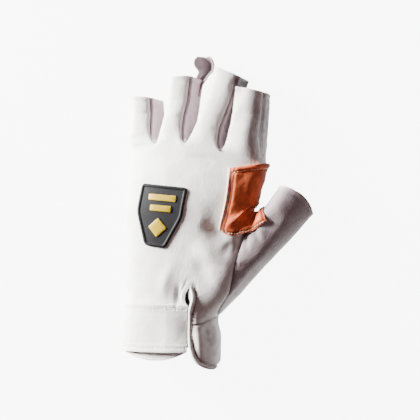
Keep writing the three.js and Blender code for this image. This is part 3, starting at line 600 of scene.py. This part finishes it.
def grained(name, light, shade, grain, blotch, roughness, sheen=0.0, painted_shade_and_wear=(), gloss=0.35):
    """A material with two tones in soft blotches and a raised grain, with their sizes in millimetres.

    Its tints are laid on by attributes of the mesh, each with its strength: some are painted shade, others a
    seam's dark line or wear. gloss is how strongly the surface mirrors, where 0.5 is what the material's
    refraction alone gives."""
    made = bpy.data.materials.new(name)
    made.use_nodes = True
    tree = made.node_tree
    shader = tree.nodes["Principled BSDF"]
    place = add_node(tree, "ShaderNodeTexCoord").outputs["Object"]
    clouds = add_node(
        tree,
        "ShaderNodeTexNoise",
        {"Vector": place, "Scale": 1 / (blotch * MM), "Detail": 4, "Roughness": 0.6},
    )
    tone = add_node(
        tree,
        "ShaderNodeMapRange",
        {"Value": clouds.outputs["Fac"], "From Min": 0.42, "From Max": 0.72, "To Min": 0, "To Max": 0.75},
    )
    colour = add_node(
        tree,
        "ShaderNodeMix",
        {0: tone.outputs["Result"], 6: linear(light), 7: linear(shade)},
        data_type="RGBA",
    ).outputs[2]
    for attribute, tint, strength in painted_shade_and_wear:
        near = add_node(tree, "ShaderNodeAttribute", attribute_name=attribute).outputs["Fac"]
        amount = add_node(tree, "ShaderNodeMath", {0: near, 1: strength}, operation="MULTIPLY").outputs[0]
        blend = {0: amount, 6: colour, 7: linear(tint)}
        colour = add_node(tree, "ShaderNodeMix", blend, data_type="RGBA").outputs[2]
    tree.links.new(colour, shader.inputs["Base Color"])
    cells = add_node(
        tree, "ShaderNodeTexVoronoi", {"Vector": place, "Scale": 1 / (grain * MM)}, feature="F1"
    )
    pores = add_node(
        tree,
        "ShaderNodeTexNoise",
        {"Vector": place, "Scale": 2.5 / (grain * MM), "Detail": 2, "Roughness": 0.5},
    )
    heights = add_node(
        tree, "ShaderNodeMath", {0: cells.outputs["Distance"], 1: pores.outputs["Fac"]}, operation="ADD"
    )
    bump = add_node(
        tree,
        "ShaderNodeBump",
        {"Height": heights.outputs[0], "Strength": 0.5, "Distance": 0.15 * grain * MM},
    )
    tree.links.new(bump.outputs["Normal"], shader.inputs["Normal"])
    shader.inputs["Roughness"].default_value = roughness
    shader.inputs["Specular IOR Level"].default_value = gloss
    shader.inputs["Sheen Weight"].default_value = sheen
    shader.inputs["Sheen Roughness"].default_value = 0.5
    return made


# Pearl-tanned goatskin, grain side out: nearly white and matt, with faint mauve clouds of its own, and with
# painted shade laid on in mauve clouds and in the seams' grooves
goatskin = grained(
    "pearl_goatskin",
    light="ECECE5",
    shade="DACFD0",
    grain=1.3,
    blotch=16,
    roughness=0.62,
    sheen=0.1,
    painted_shade_and_wear=(("shade_cloud", "8A777B", 0.9), ("seam", "8C7C80", 0.8), ("rim", "D8CCC8", 0.35)),
)
# The same skin's flesh side, brushed: grey-mauve and without gloss
flesh_side = grained(
    "brushed_flesh_side", "82777A", "62585C", grain=0.9, blotch=9, roughness=0.95, sheen=0.2
)
# A thin split of it for the walls between the fingers, coloured pale mauve as painted shade: matt, with dark
# seams
mauve_shade_and_wear = (("shade_cloud", "5C5256", 0.9), ("seam", "7A6A6E", 0.8), ("rim", "E2D8D6", 0.5))
split_with_painted_shade = grained(
    "split_with_painted_shade", "C9BABF", "B09EA4", grain=1.2, blotch=12, roughness=0.7, painted_shade_and_wear=mauve_shade_and_wear
)
# The thumb's sleeve is the same goatskin with its grain side out, so its grain is the back's, but with
# painted shade: its colour is darker and greyer for the shade it lies in
thumb_goatskin_with_painted_shade = grained(
    "goatskin_with_painted_thumb_shade", "A6979B", "8D7F83", grain=1.3, blotch=16, roughness=0.7, painted_shade_and_wear=mauve_shade_and_wear
)


def finish(mesh, name, replaced, materials, thickness=0.0, rim=0.35):
    """Makes an object of a mesh, with its wall and rounded rims, and ties it to the part.

    The mesh is in the glove's frame. The materials are the outer face's, the inner's and the rim's."""
    bmesh.ops.transform(
        mesh, matrix=Matrix.Scale(MM, 4) @ Matrix.Translation(HEM_PLACE), verts=mesh.verts
    )
    for face in mesh.faces:
        face.smooth = True
    data = bpy.data.meshes.new(name)
    mesh.to_mesh(data)
    mesh.free()
    for material in materials:
        data.materials.append(material)
    made = bpy.data.objects.new(name, data)
    bpy.context.scene.collection.objects.link(made)
    if thickness:
        wall = made.modifiers.new("wall", "SOLIDIFY")
        wall.thickness = thickness * MM
        wall.offset = -1
        wall.material_offset = min(1, len(materials) - 1)
        wall.material_offset_rim = len(materials) - 1 if len(materials) > 2 else 0
        edge = made.modifiers.new("rounded rim", "BEVEL")
        edge.width = rim * MM
        edge.segments = 2
        edge.limit_method = "ANGLE"
        edge.angle_limit = math.radians(50)
    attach(made, "root")
    if replaced:
        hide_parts(replaced)
    return made


for number, piece in enumerate(PIECES):
    panel = skin.copy()
    others = [face for face in panel.faces if face[panel.faces.layers.int["piece"]] != number]
    bmesh.ops.delete(panel, geom=others, context="FACES")
    outer = {"fourchette": split_with_painted_shade, "thumb": thumb_goatskin_with_painted_shade}.get(piece.split("_")[0], goatskin)
    finish(panel, f"leather_{piece}", piece, [outer, flesh_side], LEATHER)

# Wrist strap
# A second layer of the same goatskin runs across the back of the wrist, from the little finger's
# side to the slit. Both its long edges are turned under and topstitched with white thread.

LAY_GAP = 0.5
STRAP_WALL = 1.5
STRAP_START = -6
STRAP_LENGTH = 33.5
STRAP_END = math.radians(186)
STRAP_MARGIN = 0.4
STRAP_SUNK = 0.16  # share of its length over which it lies flat at the little finger's side
STRAP_EASE = 0.3  # share of its length over which it rises off the leather
STRAP_THINNED = 0.45  # share of its rise that it loses again at the slit
STRAP_LAST = 0.2  # share of its length over which it does
STRAP_CLEAR = 0.2  # over the leather even where it lies flat
STRAP_ROUND = 80  # about its length round the wrist
STRAP_ROWS, STRAP_COLUMNS = 60, 130
STRAP_SEAMS = (3.4, STRAP_LENGTH - 3)  # from its lower edge
HEM_BEYOND = (1.6, 1.4)  # how far the turned hems reach past the low and the high seam
HEM_STEP = 0.35
HEM_SOFTNESS = 1.6
STITCH_PITCH = 2.3
STITCH_LENGTH = 1.7
STITCH_RADIUS = 0.32
STITCH_DENT = 0.4


def strap_point(y, share):
    """A point of the leather under the strap. Some rounds of correction keep its rows level along y."""
    at = y / HAND_LENGTH
    for _ in range(6):
        angle = lerp(STRAP_END, line_angle(INDEX, at, False), share)
        at += (y - trunk(at, angle).y) / HAND_LENGTH
    point = trunk(at, angle)
    point.x -= (slit_shift(at) + STRAP_MARGIN) * share
    return point


def raised(mesh, corners, height, ahead=None):
    """Moves each corner along its normal, or another way, so that the surface rises by a height.

    Both are worked out from the corner's row and its share of the way across."""
    mesh.normal_update()
    moves = []
    for vert, place in corners.items():
        way = ahead(*place) if ahead else vert.normal
        moves.append((vert, way * (height(vert, *place) / max(0.6, way.dot(vert.normal)))))
    for vert, move in moves:
        vert.co += move
        vert.co.z = max(0.1, vert.co.z)
    mesh.normal_update()
    return BVHTree.FromBMesh(mesh)


def sewn(distance, run):
    """The dent of a row of stitches at a distance from it: deepest where the thread goes in."""
    puckered = 1 - 0.35 * math.cos(2 * math.pi * run / STITCH_PITCH)
    return -STITCH_DENT * puckered * math.exp(-((distance / 0.9) ** 2))


def strap_height(vert, y, share):
    from_low = y - STRAP_START
    run = (1 - share) * STRAP_ROUND
    dents = sum(sewn(from_low - seam, run) for seam in STRAP_SEAMS)
    hem_edge = min(from_low - STRAP_SEAMS[0] - HEM_BEYOND[0], STRAP_SEAMS[1] - HEM_BEYOND[1] - from_low)
    hem = HEM_STEP * clamp(0.5 - hem_edge / HEM_SOFTNESS, 0, 1)
    risen = clamp((share - STRAP_SUNK) / STRAP_EASE, 0, 1)
    risen -= STRAP_THINNED * clamp((share - (1 - STRAP_LAST)) / STRAP_LAST, 0, 1)
    seams = (dents + hem) * min(1, 2 * risen)
    return relief(vert.co, vert.normal) + STRAP_CLEAR + (LAY_GAP + STRAP_WALL) * risen + seams


def sew(thread, surface, line, pitch=STITCH_PITCH, length=STITCH_LENGTH, radius=STITCH_RADIUS):
    """Adds a row of stitches along a line of points, each half sunk in the surface under it."""
    walked = [0]
    for a, b in zip(line, line[1:]):
        walked.append(walked[-1] + (b - a).length)

    def along(distance):
        i = min(bisect(walked, distance), len(line) - 1) - 1
        return line[i].lerp(line[i + 1], (distance - walked[i]) / (walked[i + 1] - walked[i]))

    for number in range(int((walked[-1] - length) / pitch) + 1):
        start, end = along(number * pitch), along(number * pitch + length)
        place, normal = surface.find_nearest(start.lerp(end, 0.5))[:2]
        ahead = (end - start).normalized()
        side = normal.cross(ahead).normalized()
        up = ahead.cross(side)
        turn = Matrix((ahead, side, up)).transposed().to_4x4()
        shape = Matrix.Diagonal((length / 2, radius, radius, 1))
        place = Matrix.Translation(place + up * radius * 0.35)
        bmesh.ops.create_uvsphere(thread, u_segments=10, v_segments=6, radius=1, matrix=place @ turn @ shape)


def plain(name, colour, roughness):
    made = bpy.data.materials.new(name)
    made.use_nodes = True
    shader = made.node_tree.nodes["Principled BSDF"]
    shader.inputs["Base Color"].default_value = linear(colour)
    shader.inputs["Roughness"].default_value = roughness
    return made


white_thread = plain("white_polyester_thread", "E9E3E0", 0.6)
brown_thread = plain("brown_polyester_thread", "4A342C", 0.6)

strap = bmesh.new()
strap_rows = evenly(STRAP_START, STRAP_START + STRAP_LENGTH, STRAP_ROWS)
corners = net(strap, strap_rows, STRAP_COLUMNS, strap_point)
strap_surface = raised(strap, corners, strap_height)
finish(strap, "strap_layer", "wrist_strap", [goatskin, flesh_side], STRAP_WALL)
strap_thread = bmesh.new()
for seam in STRAP_SEAMS:
    line = [strap_point(STRAP_START + seam, share) for share in evenly(0.03, 0.985, 90)]
    sew(strap_thread, strap_surface, [strap_surface.find_nearest(point)[0] for point in line])
# The back's own hem shows below the strap, with its stitches
hem_angles = evenly(math.radians(150), math.radians(62), 60)
hem_line = [trunk(0, angle) + Vector((0, 2.6, 0)) for angle in hem_angles]
sew(strap_thread, skin_tree, [skin_tree.find_nearest(point)[0] for point in hem_line])
finish(strap_thread, "strap_stitches", None, [white_thread])

# Slit binding
# A strip of goatskin is rolled over the tongue's edge and sewn down with dark thread. It stands up
# in the wrist slit, from its top down to the hem, and fades out round the tongue's end.

BINDING_SIDES = 16
BINDING_LIFT = 0.2  # of its middle over the leather
BINDING_FADE = 8  # over which its ends grow thin
BINDING_STITCH = 0.36


def tube(mesh, line, sides, size):
    """Adds a round roll along a line of points on the leather. size gives its half width at a share."""

    def place(i, share):
        ahead = (line[min(i + 1, len(line) - 1)] - line[max(i - 1, 0)]).normalized()
        side = Vector((-ahead.y, ahead.x, 0)).normalized()
        up = ahead.cross(side)
        if up.z < 0:
            up = -up
        angle = 2 * math.pi * share
        radius = size(i / (len(line) - 1))
        return line[i] + (side * math.cos(angle) + up * math.sin(angle)) * radius

    corners = net(mesh, range(len(line)), sides, place)
    bmesh.ops.remove_doubles(mesh, verts=list(corners), dist=0.003)
    bmesh.ops.recalc_face_normals(mesh, faces=mesh.faces)


def fading(line, radius, fade):
    """A roll's half width along a line: full, and thin at both ends."""
    length = sum((b - a).length for a, b in zip(line, line[1:]))

    def size(share):
        near = min(share, 1 - share) * length / fade
        return max(0.02, radius * math.sqrt(1 - (1 - clamp(near, 0, 1)) ** 2))

    return size


binding = bmesh.new()
binding_path = []
for point in binding_line:
    surface = skin_tree.find_nearest(point)[0]
    binding_path.append(Vector((point.x, point.y, surface.z + BINDING_LIFT)))
binding_path = smoothed(binding_path, 12)
tube(binding, binding_path, BINDING_SIDES, fading(binding_path, BINDING_RADIUS, BINDING_FADE))
finish(binding, "binding_roll", "slit_piping", [goatskin])
binding_thread = bmesh.new()
seam_line = [skin_tree.find_nearest(point)[0] for point in binding_seam[4:]]
sew(binding_thread, skin_tree, seam_line, radius=BINDING_STITCH)
finish(binding_thread, "binding_stitches", None, [brown_thread])

# Web patch
# A piece of rust-coloured suede is sewn round the web between the thumb and the index, where a rope
# rubs. Its top is rolled into a hem, and a strip of pale raw leather lies along its left edge.

PATCH_WALL = 1.4
PATCH_LEVEL = 13  # height of the middle of the fans of rays that find the leather under it
PATCH_STEP = 12  # rows of the net for each row of the table
PATCH_COLUMNS = 76
PATCH_BRIDGES = 1  # rounds of spanning the web's fold
PATCH_EVENED = 24  # rounds of evening out what is left of it
PATCH_SINK = 0.8  # how far that may draw it in below the leather's skin
PATCH_HEM = 3.4
PATCH_HEM_HEIGHT = 0.7
PATCH_HEM_SEAM = 0.7  # from the hem to its stitches
PATCH_TUCK = 0.8  # how far its sewn edge is drawn in
HEM_SEAM_ROWS = 9  # rows of the net from the top edge down to those stitches
PATCH_SEAM = 1.5  # from the edge to the stitches
WELT_RADIUS = 0.95
WELT_OFFSET = 1.7

# Rows from the thumb back to the index. x is the patch's edge on the back of the hand as a share of
# the knuckle breadth, and y as a share of the way from the thumb hole to the fingers. turn is the
# direction in degrees in which the row runs out to the side, and low is how far down it reaches.
PATCH = table(
    "at x y turn low",
    (0, 0.469, 0.09, 117, -4),
    (1, 0.412, 0.001, 100, -7),
    (2, 0.36, -0.07, 82, -10),
    (3, 0.294, -0.105, 63, -14),
    (4, 0.235, -0.127, 59, -14),
    (5, 0.169, -0.067, 43, -18),
    (6, 0.192, 0.158, 27, -30),
    (7, 0.214, 0.389, 12, -38),
    (8, 0.223, 0.565, 8, -38),
    (9, 0.229, 0.728, 6, -38),
    (10, 0.231, 0.796, 7, -38),
    (11, 0.232, 0.861, 8, -38),
)
PATCH_CORNER = 5  # the row at its lower left corner


def patch_ray(at, share):
    x, y, turn, low = [between(PATCH, column, at) for column in ("x", "y", "turn", "low")]
    angle = lerp(TURN, math.radians(low), share)
    turn = math.radians(turn)
    flat = math.cos(angle)
    middle = Vector((x * KNUCKLE_BREADTH, lerp(THUMB_HOLE_END, HAND_LENGTH, y), PATCH_LEVEL))
    return middle, Vector((math.cos(turn) * flat, math.sin(turn) * flat, math.sin(angle)))


patch_rows = evenly(0, len(PATCH) - 1, PATCH_STEP * (len(PATCH) - 1))
patch_rays = [[patch_ray(at, share) for share in evenly(0, 1, PATCH_COLUMNS)] for at in patch_rows]
reach = [[skin_tree.ray_cast(middle, ahead)[3] for middle, ahead in rays] for rays in patch_rays]
leather = reach


def patch_place(i, j):
    middle, ahead = patch_rays[i][j]
    return middle + ahead * reach[i][j]


def bridged(i, j):
    """How far out the patch lies on a ray where it spans the web instead of following its fold."""
    step = min(PATCH_STEP, i, len(patch_rows) - 1 - i)
    middle, ahead = patch_rays[i][j]
    span = patch_place(i - step, j).lerp(patch_place(i + step, j), 0.5)
    return max(reach[i][j], (span - middle).dot(ahead))


def evened(i, j):
    """How far out it lies once it is drawn towards its four neighbours."""
    near = [reach[min(i + 1, len(reach) - 1)][j], reach[max(i - 1, 0)][j]]
    near += [reach[i][min(j + 1, PATCH_COLUMNS)], reach[i][max(j - 1, 0)]]
    return max(leather[i][j] - PATCH_SINK, lerp(reach[i][j], sum(near) / 4, 0.6))


for rule, passes in ((bridged, PATCH_BRIDGES), (evened, PATCH_EVENED)):
    for _ in range(passes):
        reach = [[rule(i, j) for j in range(PATCH_COLUMNS + 1)] for i in range(len(patch_rows))]


def patch_point(at, share):
    return patch_place(round(at * PATCH_STEP), round(share * PATCH_COLUMNS))


def patch_ahead(at, share):
    return patch_rays[round(at * PATCH_STEP)][round(share * PATCH_COLUMNS)][1]


patch = bmesh.new()
edge_near = patch.verts.layers.float.new("edge")
corners = net(patch, patch_rows, PATCH_COLUMNS, patch_point)
top_edge = tree_of([patch_point(patch_rows[-1], share) for share in evenly(0, 1, PATCH_COLUMNS)])
sewn_edge = [patch_point(at, 0) for at in patch_rows]
sewn_edge += [patch_point(0, share) for share in evenly(0, 1, PATCH_COLUMNS)]
sewn_tree = tree_of(sewn_edge)


def patch_height(vert, at, share):
    from_top = top_edge.find(vert.co)[2]
    from_edge = sewn_tree.find(vert.co)[2]
    run = vert.co.x + vert.co.y
    hem = PATCH_HEM_HEIGHT * math.sin(math.pi * clamp(from_top / PATCH_HEM, 0, 1)) ** 0.8
    dents = sewn(from_top - PATCH_HEM - PATCH_HEM_SEAM, run) + 1.4 * sewn(from_edge - PATCH_SEAM, run)
    tucked = -PATCH_TUCK * math.exp(-((from_edge / 0.9) ** 2))
    # Painted shade, with the seam's own dark: a dark band along the sewn edge's line of stitches
    vert[edge_near] = math.exp(-(((from_edge - PATCH_SEAM) / 0.8) ** 2))
    puff = 0.5 * noise.noise(vert.co / 7) + 0.12 * noise.noise(vert.co / 2.4)
    return LAY_GAP + PATCH_WALL + hem + dents + tucked + puff


patch_surface = raised(patch, corners, patch_height, patch_ahead)
# Suede, brushed on both sides: rust-coloured and without gloss. It is dark along its sewn line, partly the
# seam's own dark and partly painted shade in the stitched groove
suede = grained(
    "rust_suede",
    light="DE6C40",
    shade="B6532E",
    grain=0.9,
    blotch=8,
    roughness=0.9,
    sheen=0.15,
    painted_shade_and_wear=(("edge", "3A1A12", 0.75),),
    gloss=0.1,
)
# Cut leather, undyed inside: pale pink and fibrous
raw_edge = grained("raw_leather_edge", "EFC3B2", "D79C88", grain=0.8, blotch=5, roughness=0.9)
finish(patch, "web_suede", "web_patch", [suede, suede, raw_edge], PATCH_WALL)

patch_thread = bmesh.new()
top_line = [patch_point(patch_rows[-1 - HEM_SEAM_ROWS], share) for share in evenly(0.05, 0.97, 60)]
sew(patch_thread, patch_surface, [patch_surface.find_nearest(point)[0] for point in top_line])
low_line = [patch_point(at, 0.07) for at in evenly(0.3, PATCH_CORNER, 60)]
sew(patch_thread, patch_surface, [patch_surface.find_nearest(point)[0] for point in low_line])
cream_thread = plain("cream_polyester_thread", "EBC9A6", 0.6)
finish(patch_thread, "patch_stitches", None, [cream_thread])

welt = bmesh.new()
welt_line = []
for at in evenly(PATCH_CORNER, len(PATCH) - 1, 90):
    edge = patch_ray(at, 0)[0] - Vector((WELT_OFFSET, 0, 0))
    top = skin_tree.ray_cast(edge, Vector((0, 0, 1)))[0]
    welt_line.append(top + Vector((0, 0, WELT_RADIUS * 0.6)))
welt_line = smoothed(welt_line, 20)
tube(welt, welt_line, 12, fading(welt_line, WELT_RADIUS, 2))
finish(welt, "patch_welt", "web_patch_welt", [raw_edge])

# Pull tab
# A strip of the same goatskin, sewn inside the ring finger's stall, sticks out past its tip with
# its brushed flesh side up. Its sides and its end have curled.

TAB_LENGTH = 27
TAB_BREADTH = 14
TAB_ASIDE = 13.4  # of its middle, from the middle of the ring finger's open tip
TAB_INSIDE = 13.5  # how much of it is inside the stall
TAB_LEVEL = 3.4  # of its lowest line over the table
TAB_CURL = 6.5  # how high its sides stand
TAB_END_CURL = 3.5
TAB_WALL = 1.2
TAB_ROWS, TAB_COLUMNS = 60, 26
# Its middle line and its breadth, as shares of TAB_BREADTH, from inside the stall to its end
TAB = table(
    "at x breadth",
    (0, -0.45, 0.5),
    (0.3, -0.25, 0.5),
    (0.5, 0, 0.56),
    (0.64, 0.2, 0.7),
    (0.8, 0.18, 1),
    (0.92, 0.16, 0.9),
    (1, 0.14, 0.55),
)
ring_tip = stall(1, 1, TURN)


def tab_point(at, share):
    side = 2 * share - 1
    breadth = between(TAB, "breadth", at)
    x = between(TAB, "x", at) + breadth * side / 2
    curl = TAB_CURL * breadth * side**2 + TAB_END_CURL * clamp((at - 0.7) / 0.3, 0, 1) ** 2
    y = ring_tip.y - TAB_INSIDE + TAB_LENGTH * at
    return Vector((ring_tip.x + TAB_ASIDE + TAB_BREADTH * x, y, TAB_LEVEL + curl))


def tab_height(vert, at, share):
    return 0.5 * noise.noise(vert.co / 6) + 0.15 * noise.noise(vert.co / 2)


tab = bmesh.new()
shade = tab.verts.layers.float.new("shade_cloud")
corners = net(tab, evenly(0, 1, TAB_ROWS), TAB_COLUMNS, tab_point)
# Painted shade that grows across the tab towards the thumb's side
for vert, (_, share) in corners.items():
    vert[shade] = clamp((share - 0.3) / 0.5, 0, 1)
raised(tab, corners, tab_height)
# The flesh side again, paler than inside the glove, with painted shade that darkens it towards the thumb's
# side, away from the light
tab_face = grained(
    "brushed_grey_flesh_side",
    light="B4A9AC",
    shade="9C9094",
    grain=0.9,
    blotch=7,
    roughness=0.95,
    painted_shade_and_wear=(("shade_cloud", "564A4E", 0.9),),
)
finish(tab, "tab_leather", "pull_tab", [tab_face, goatskin, goatskin], TAB_WALL)

# Badge
# A shield moulded in black rubber is bonded to the back of the hand. It has a rolled rim, and
# plain yellow rubber shapes stand on its field.

BADGE_BREADTH = 34
BADGE_LENGTH = 43
BADGE_PLACE = Vector((-24.8, 88.8))
BADGE_TURN = math.radians(-5)
BADGE_CORNER = 3
SHAPE_CORNER = 1
OUTLINE_STEP = 1.5
FIELD_LEVEL = 0.75  # of the shield's field over the leather
RIM_INSET = 2.2  # how far in the shield's rim reaches
PROBE = 2.5  # the leather's level is felt at four places this far round a point
ABOVE = 60  # higher than the whole glove

# Corners of the shield about its middle, as shares of its breadth and its length
SHIELD = [
    (0.482, 0.488),
    (-0.52, 0.498),
    (-0.559, 0.037),
    (-0.315, -0.495),
    (0.135, -0.516),
    (0.438, 0.002),
]
SHAPES = table(
    "name x y breadth height",
    ("badge_bar_upper", -0.02, 0.29, 0.6, 0.1),
    ("badge_bar_lower", -0.03, 0.12, 0.46, 0.1),
    ("badge_lozenge", -0.06, -0.19, 0.4, 0.32),
)

# Rings from the leather up and in. inset is the distance in from the outline, share how far the
# ring is drawn towards the middle, and height is over the leather.
SHIELD_RINGS = table(
    "inset share height",
    (0, 0, 0),
    (0, 0, 0.8),
    (0.3, 0, 1.05),
    (0.8, 0, 1.3),
    (1.4, 0, 1.35),
    (1.95, 0, 1.15),
    (2.25, 0, FIELD_LEVEL),
    *[(2.5, share, FIELD_LEVEL) for share in evenly(0, 1, 5)],
)
SHAPE_RINGS = table(
    "inset share height",
    (0, 0, 0.6),
    (0, 0, 1.05),
    (0.15, 0, 1.2),
    (0.45, 0, 1.3),
    (0.45, 0.5, 1.3),
    (0.45, 1, 1.3),
)


def rounded_outline(corners, radius):
    """Points round a list of corners, anticlockwise, with rounded corners and short steps."""
    points = []
    for before, corner, after in zip(corners[-1:] + corners, corners, corners[1:] + corners[:1]):
        start = corner + (before - corner).normalized() * radius
        end = corner + (after - corner).normalized() * radius
        for t in evenly(0, 1, 6):
            points.append(start.lerp(corner, t).lerp(corner.lerp(end, t), t))
        stop = after + (corner - after).normalized() * radius
        steps = max(1, round((stop - end).length / OUTLINE_STEP))
        points += [end.lerp(stop, i / steps) for i in range(1, steps)]
    return points


def on_back(x, y, height):
    """A point over the back of the hand, seen from above, on the leather's general form."""

    def top(dx, dy):
        return skin_tree.ray_cast(Vector((x + dx, y + dy, ABOVE)), Vector((0, 0, -1)))[0]

    right, left, ahead, behind = top(PROBE, 0), top(-PROBE, 0), top(0, PROBE), top(0, -PROBE)
    normal = (right - left).cross(ahead - behind).normalized()
    level = (right.z + left.z + ahead.z + behind.z) / 4
    return Vector((x, y, level)) + normal * height


def plate(corners, radius, rings):
    """A moulded plate on the back of the hand, with its outline given about the badge's middle."""
    outline = rounded_outline(corners, radius)
    middle = sum(outline, Vector((0, 0))) / len(outline)
    turn = Matrix.Rotation(BADGE_TURN, 2)
    inward = []
    for before, after in zip(outline[-1:] + outline[:-1], outline[1:] + outline[:1]):
        inward.append(Vector((before.y - after.y, after.x - before.x)).normalized())

    def place(ring, share):
        i = round(share * len(outline)) % len(outline)
        point = (outline[i] + inward[i] * ring["inset"]).lerp(middle, ring["share"])
        return on_back(*(BADGE_PLACE + turn @ point), ring["height"])

    mesh = bmesh.new()
    rim = mesh.verts.layers.float.new("rim")
    for vert, (ring, _) in net(mesh, rings, len(outline), place).items():
        vert[rim] = 1 if ring["inset"] < RIM_INSET else 0
    bmesh.ops.remove_doubles(mesh, verts=mesh.verts, dist=0.002)
    return mesh


# Moulded rubber with a fine sandy skin: nearly black and matt, and darker on its rolled rim
black_rubber = grained(
    "black_moulded_rubber",
    light="151416",
    shade="101011",
    grain=0.7,
    blotch=6,
    roughness=0.65,
    painted_shade_and_wear=(("rim", "090808", 0.9),),
    gloss=0.15,
)
# The same rubber in a mustard yellow, a little smoother
yellow_rubber = grained("yellow_moulded_rubber", "A88C00", "9E8200", grain=0.6, blotch=5, roughness=0.45)
shield = [Vector((x * BADGE_BREADTH, y * BADGE_LENGTH)) for x, y in SHIELD]
mesh = plate(shield, BADGE_CORNER, SHIELD_RINGS)
finish(mesh, "badge_rubber", "badge_shield", [black_rubber])
for row in SHAPES:
    half = Vector((row["breadth"] * BADGE_BREADTH / 2, row["height"] * BADGE_LENGTH / 2))
    middle = Vector((row["x"] * BADGE_BREADTH, row["y"] * BADGE_LENGTH))
    if row["name"] == "badge_lozenge":
        signs = ((1, 0), (0, 1), (-1, 0), (0, -1))
    else:
        signs = ((1, 1), (-1, 1), (-1, -1), (1, -1))
    shape = [middle + Vector((half.x * x, half.y * y)) for x, y in signs]
    mesh = plate(shape, SHAPE_CORNER, SHAPE_RINGS)
    finish(mesh, f"{row['name']}_rubber", row["name"], [yellow_rubber])

# Floor, light and camera
# A plain white table, one broad light from the upper left and little else, as the photograph has it.

TILT = math.radians(20)  # of the camera towards the thumb
LENS = 135
SENSOR = 36
FRAME_BREADTH = 420 * 0.7  # what the frame takes in at the glove
LOOK_AT = Vector((3.7, 93, 15))  # the picture's middle
floor_mesh = bmesh.new()
bmesh.ops.create_grid(floor_mesh, x_segments=1, y_segments=1, size=4)
floor_data = bpy.data.meshes.new("floor")
floor_mesh.to_mesh(floor_data)
floor_mesh.free()
floor = bpy.data.objects.new("floor", floor_data)
bpy.context.scene.collection.objects.link(floor)
floor.visible_diffuse = False  # its own light isn't thrown back on the glove
# White laminate that gives off some light of its own, so that it comes out nearly white
white = bpy.data.materials.new("white_table")
white.use_nodes = True
shader = white.node_tree.nodes["Principled BSDF"]
shader.inputs["Base Color"].default_value = linear("7C7C7C")
shader.inputs["Roughness"].default_value = 0.9
shader.inputs["Emission Color"].default_value = linear("FFFFFF")
shader.inputs["Emission Strength"].default_value = 8
floor_data.materials.append(white)


def lamp(name, place, size, power, colour):
    """A square soft light that looks at the glove."""
    data = bpy.data.lights.new(name, "AREA")
    data.size = size
    data.energy = power
    data.color = linear(colour)[:3]
    made = bpy.data.objects.new(name, data)
    made.location = place
    made.rotation_euler = (-Vector(place)).to_track_quat("-Z", "Y").to_euler()
    bpy.context.scene.collection.objects.link(made)


lamp("key", (-1.13, 0.5, 0.44), 0.45, 215, "FFFFFF")
lamp("fill", (-0.3, 0.3, 1.3), 1.2, 0.35, "FFD0D0")
world = bpy.data.worlds.new("studio")
world.use_nodes = True
world.node_tree.nodes["Background"].inputs["Color"].default_value = linear("F2CCCE")
world.node_tree.nodes["Background"].inputs["Strength"].default_value = 0.2
bpy.context.scene.world = world

camera_data = bpy.data.cameras.new("camera")
camera_data.lens = LENS
camera_data.sensor_width = SENSOR
camera = bpy.data.objects.new("camera", camera_data)
bpy.context.scene.collection.objects.link(camera)
bpy.context.scene.camera = camera
distance = FRAME_BREADTH * MM * LENS / SENSOR
back = Vector((math.sin(TILT), 0, math.cos(TILT)))
target = (LOOK_AT + HEM_PLACE) * MM
camera.location = target + back * distance
right = Vector((math.cos(TILT), 0, -math.sin(TILT)))
camera.rotation_euler = Matrix((right, Vector((0, 1, 0)), back)).transposed().to_euler()
camera_data.clip_end = 10
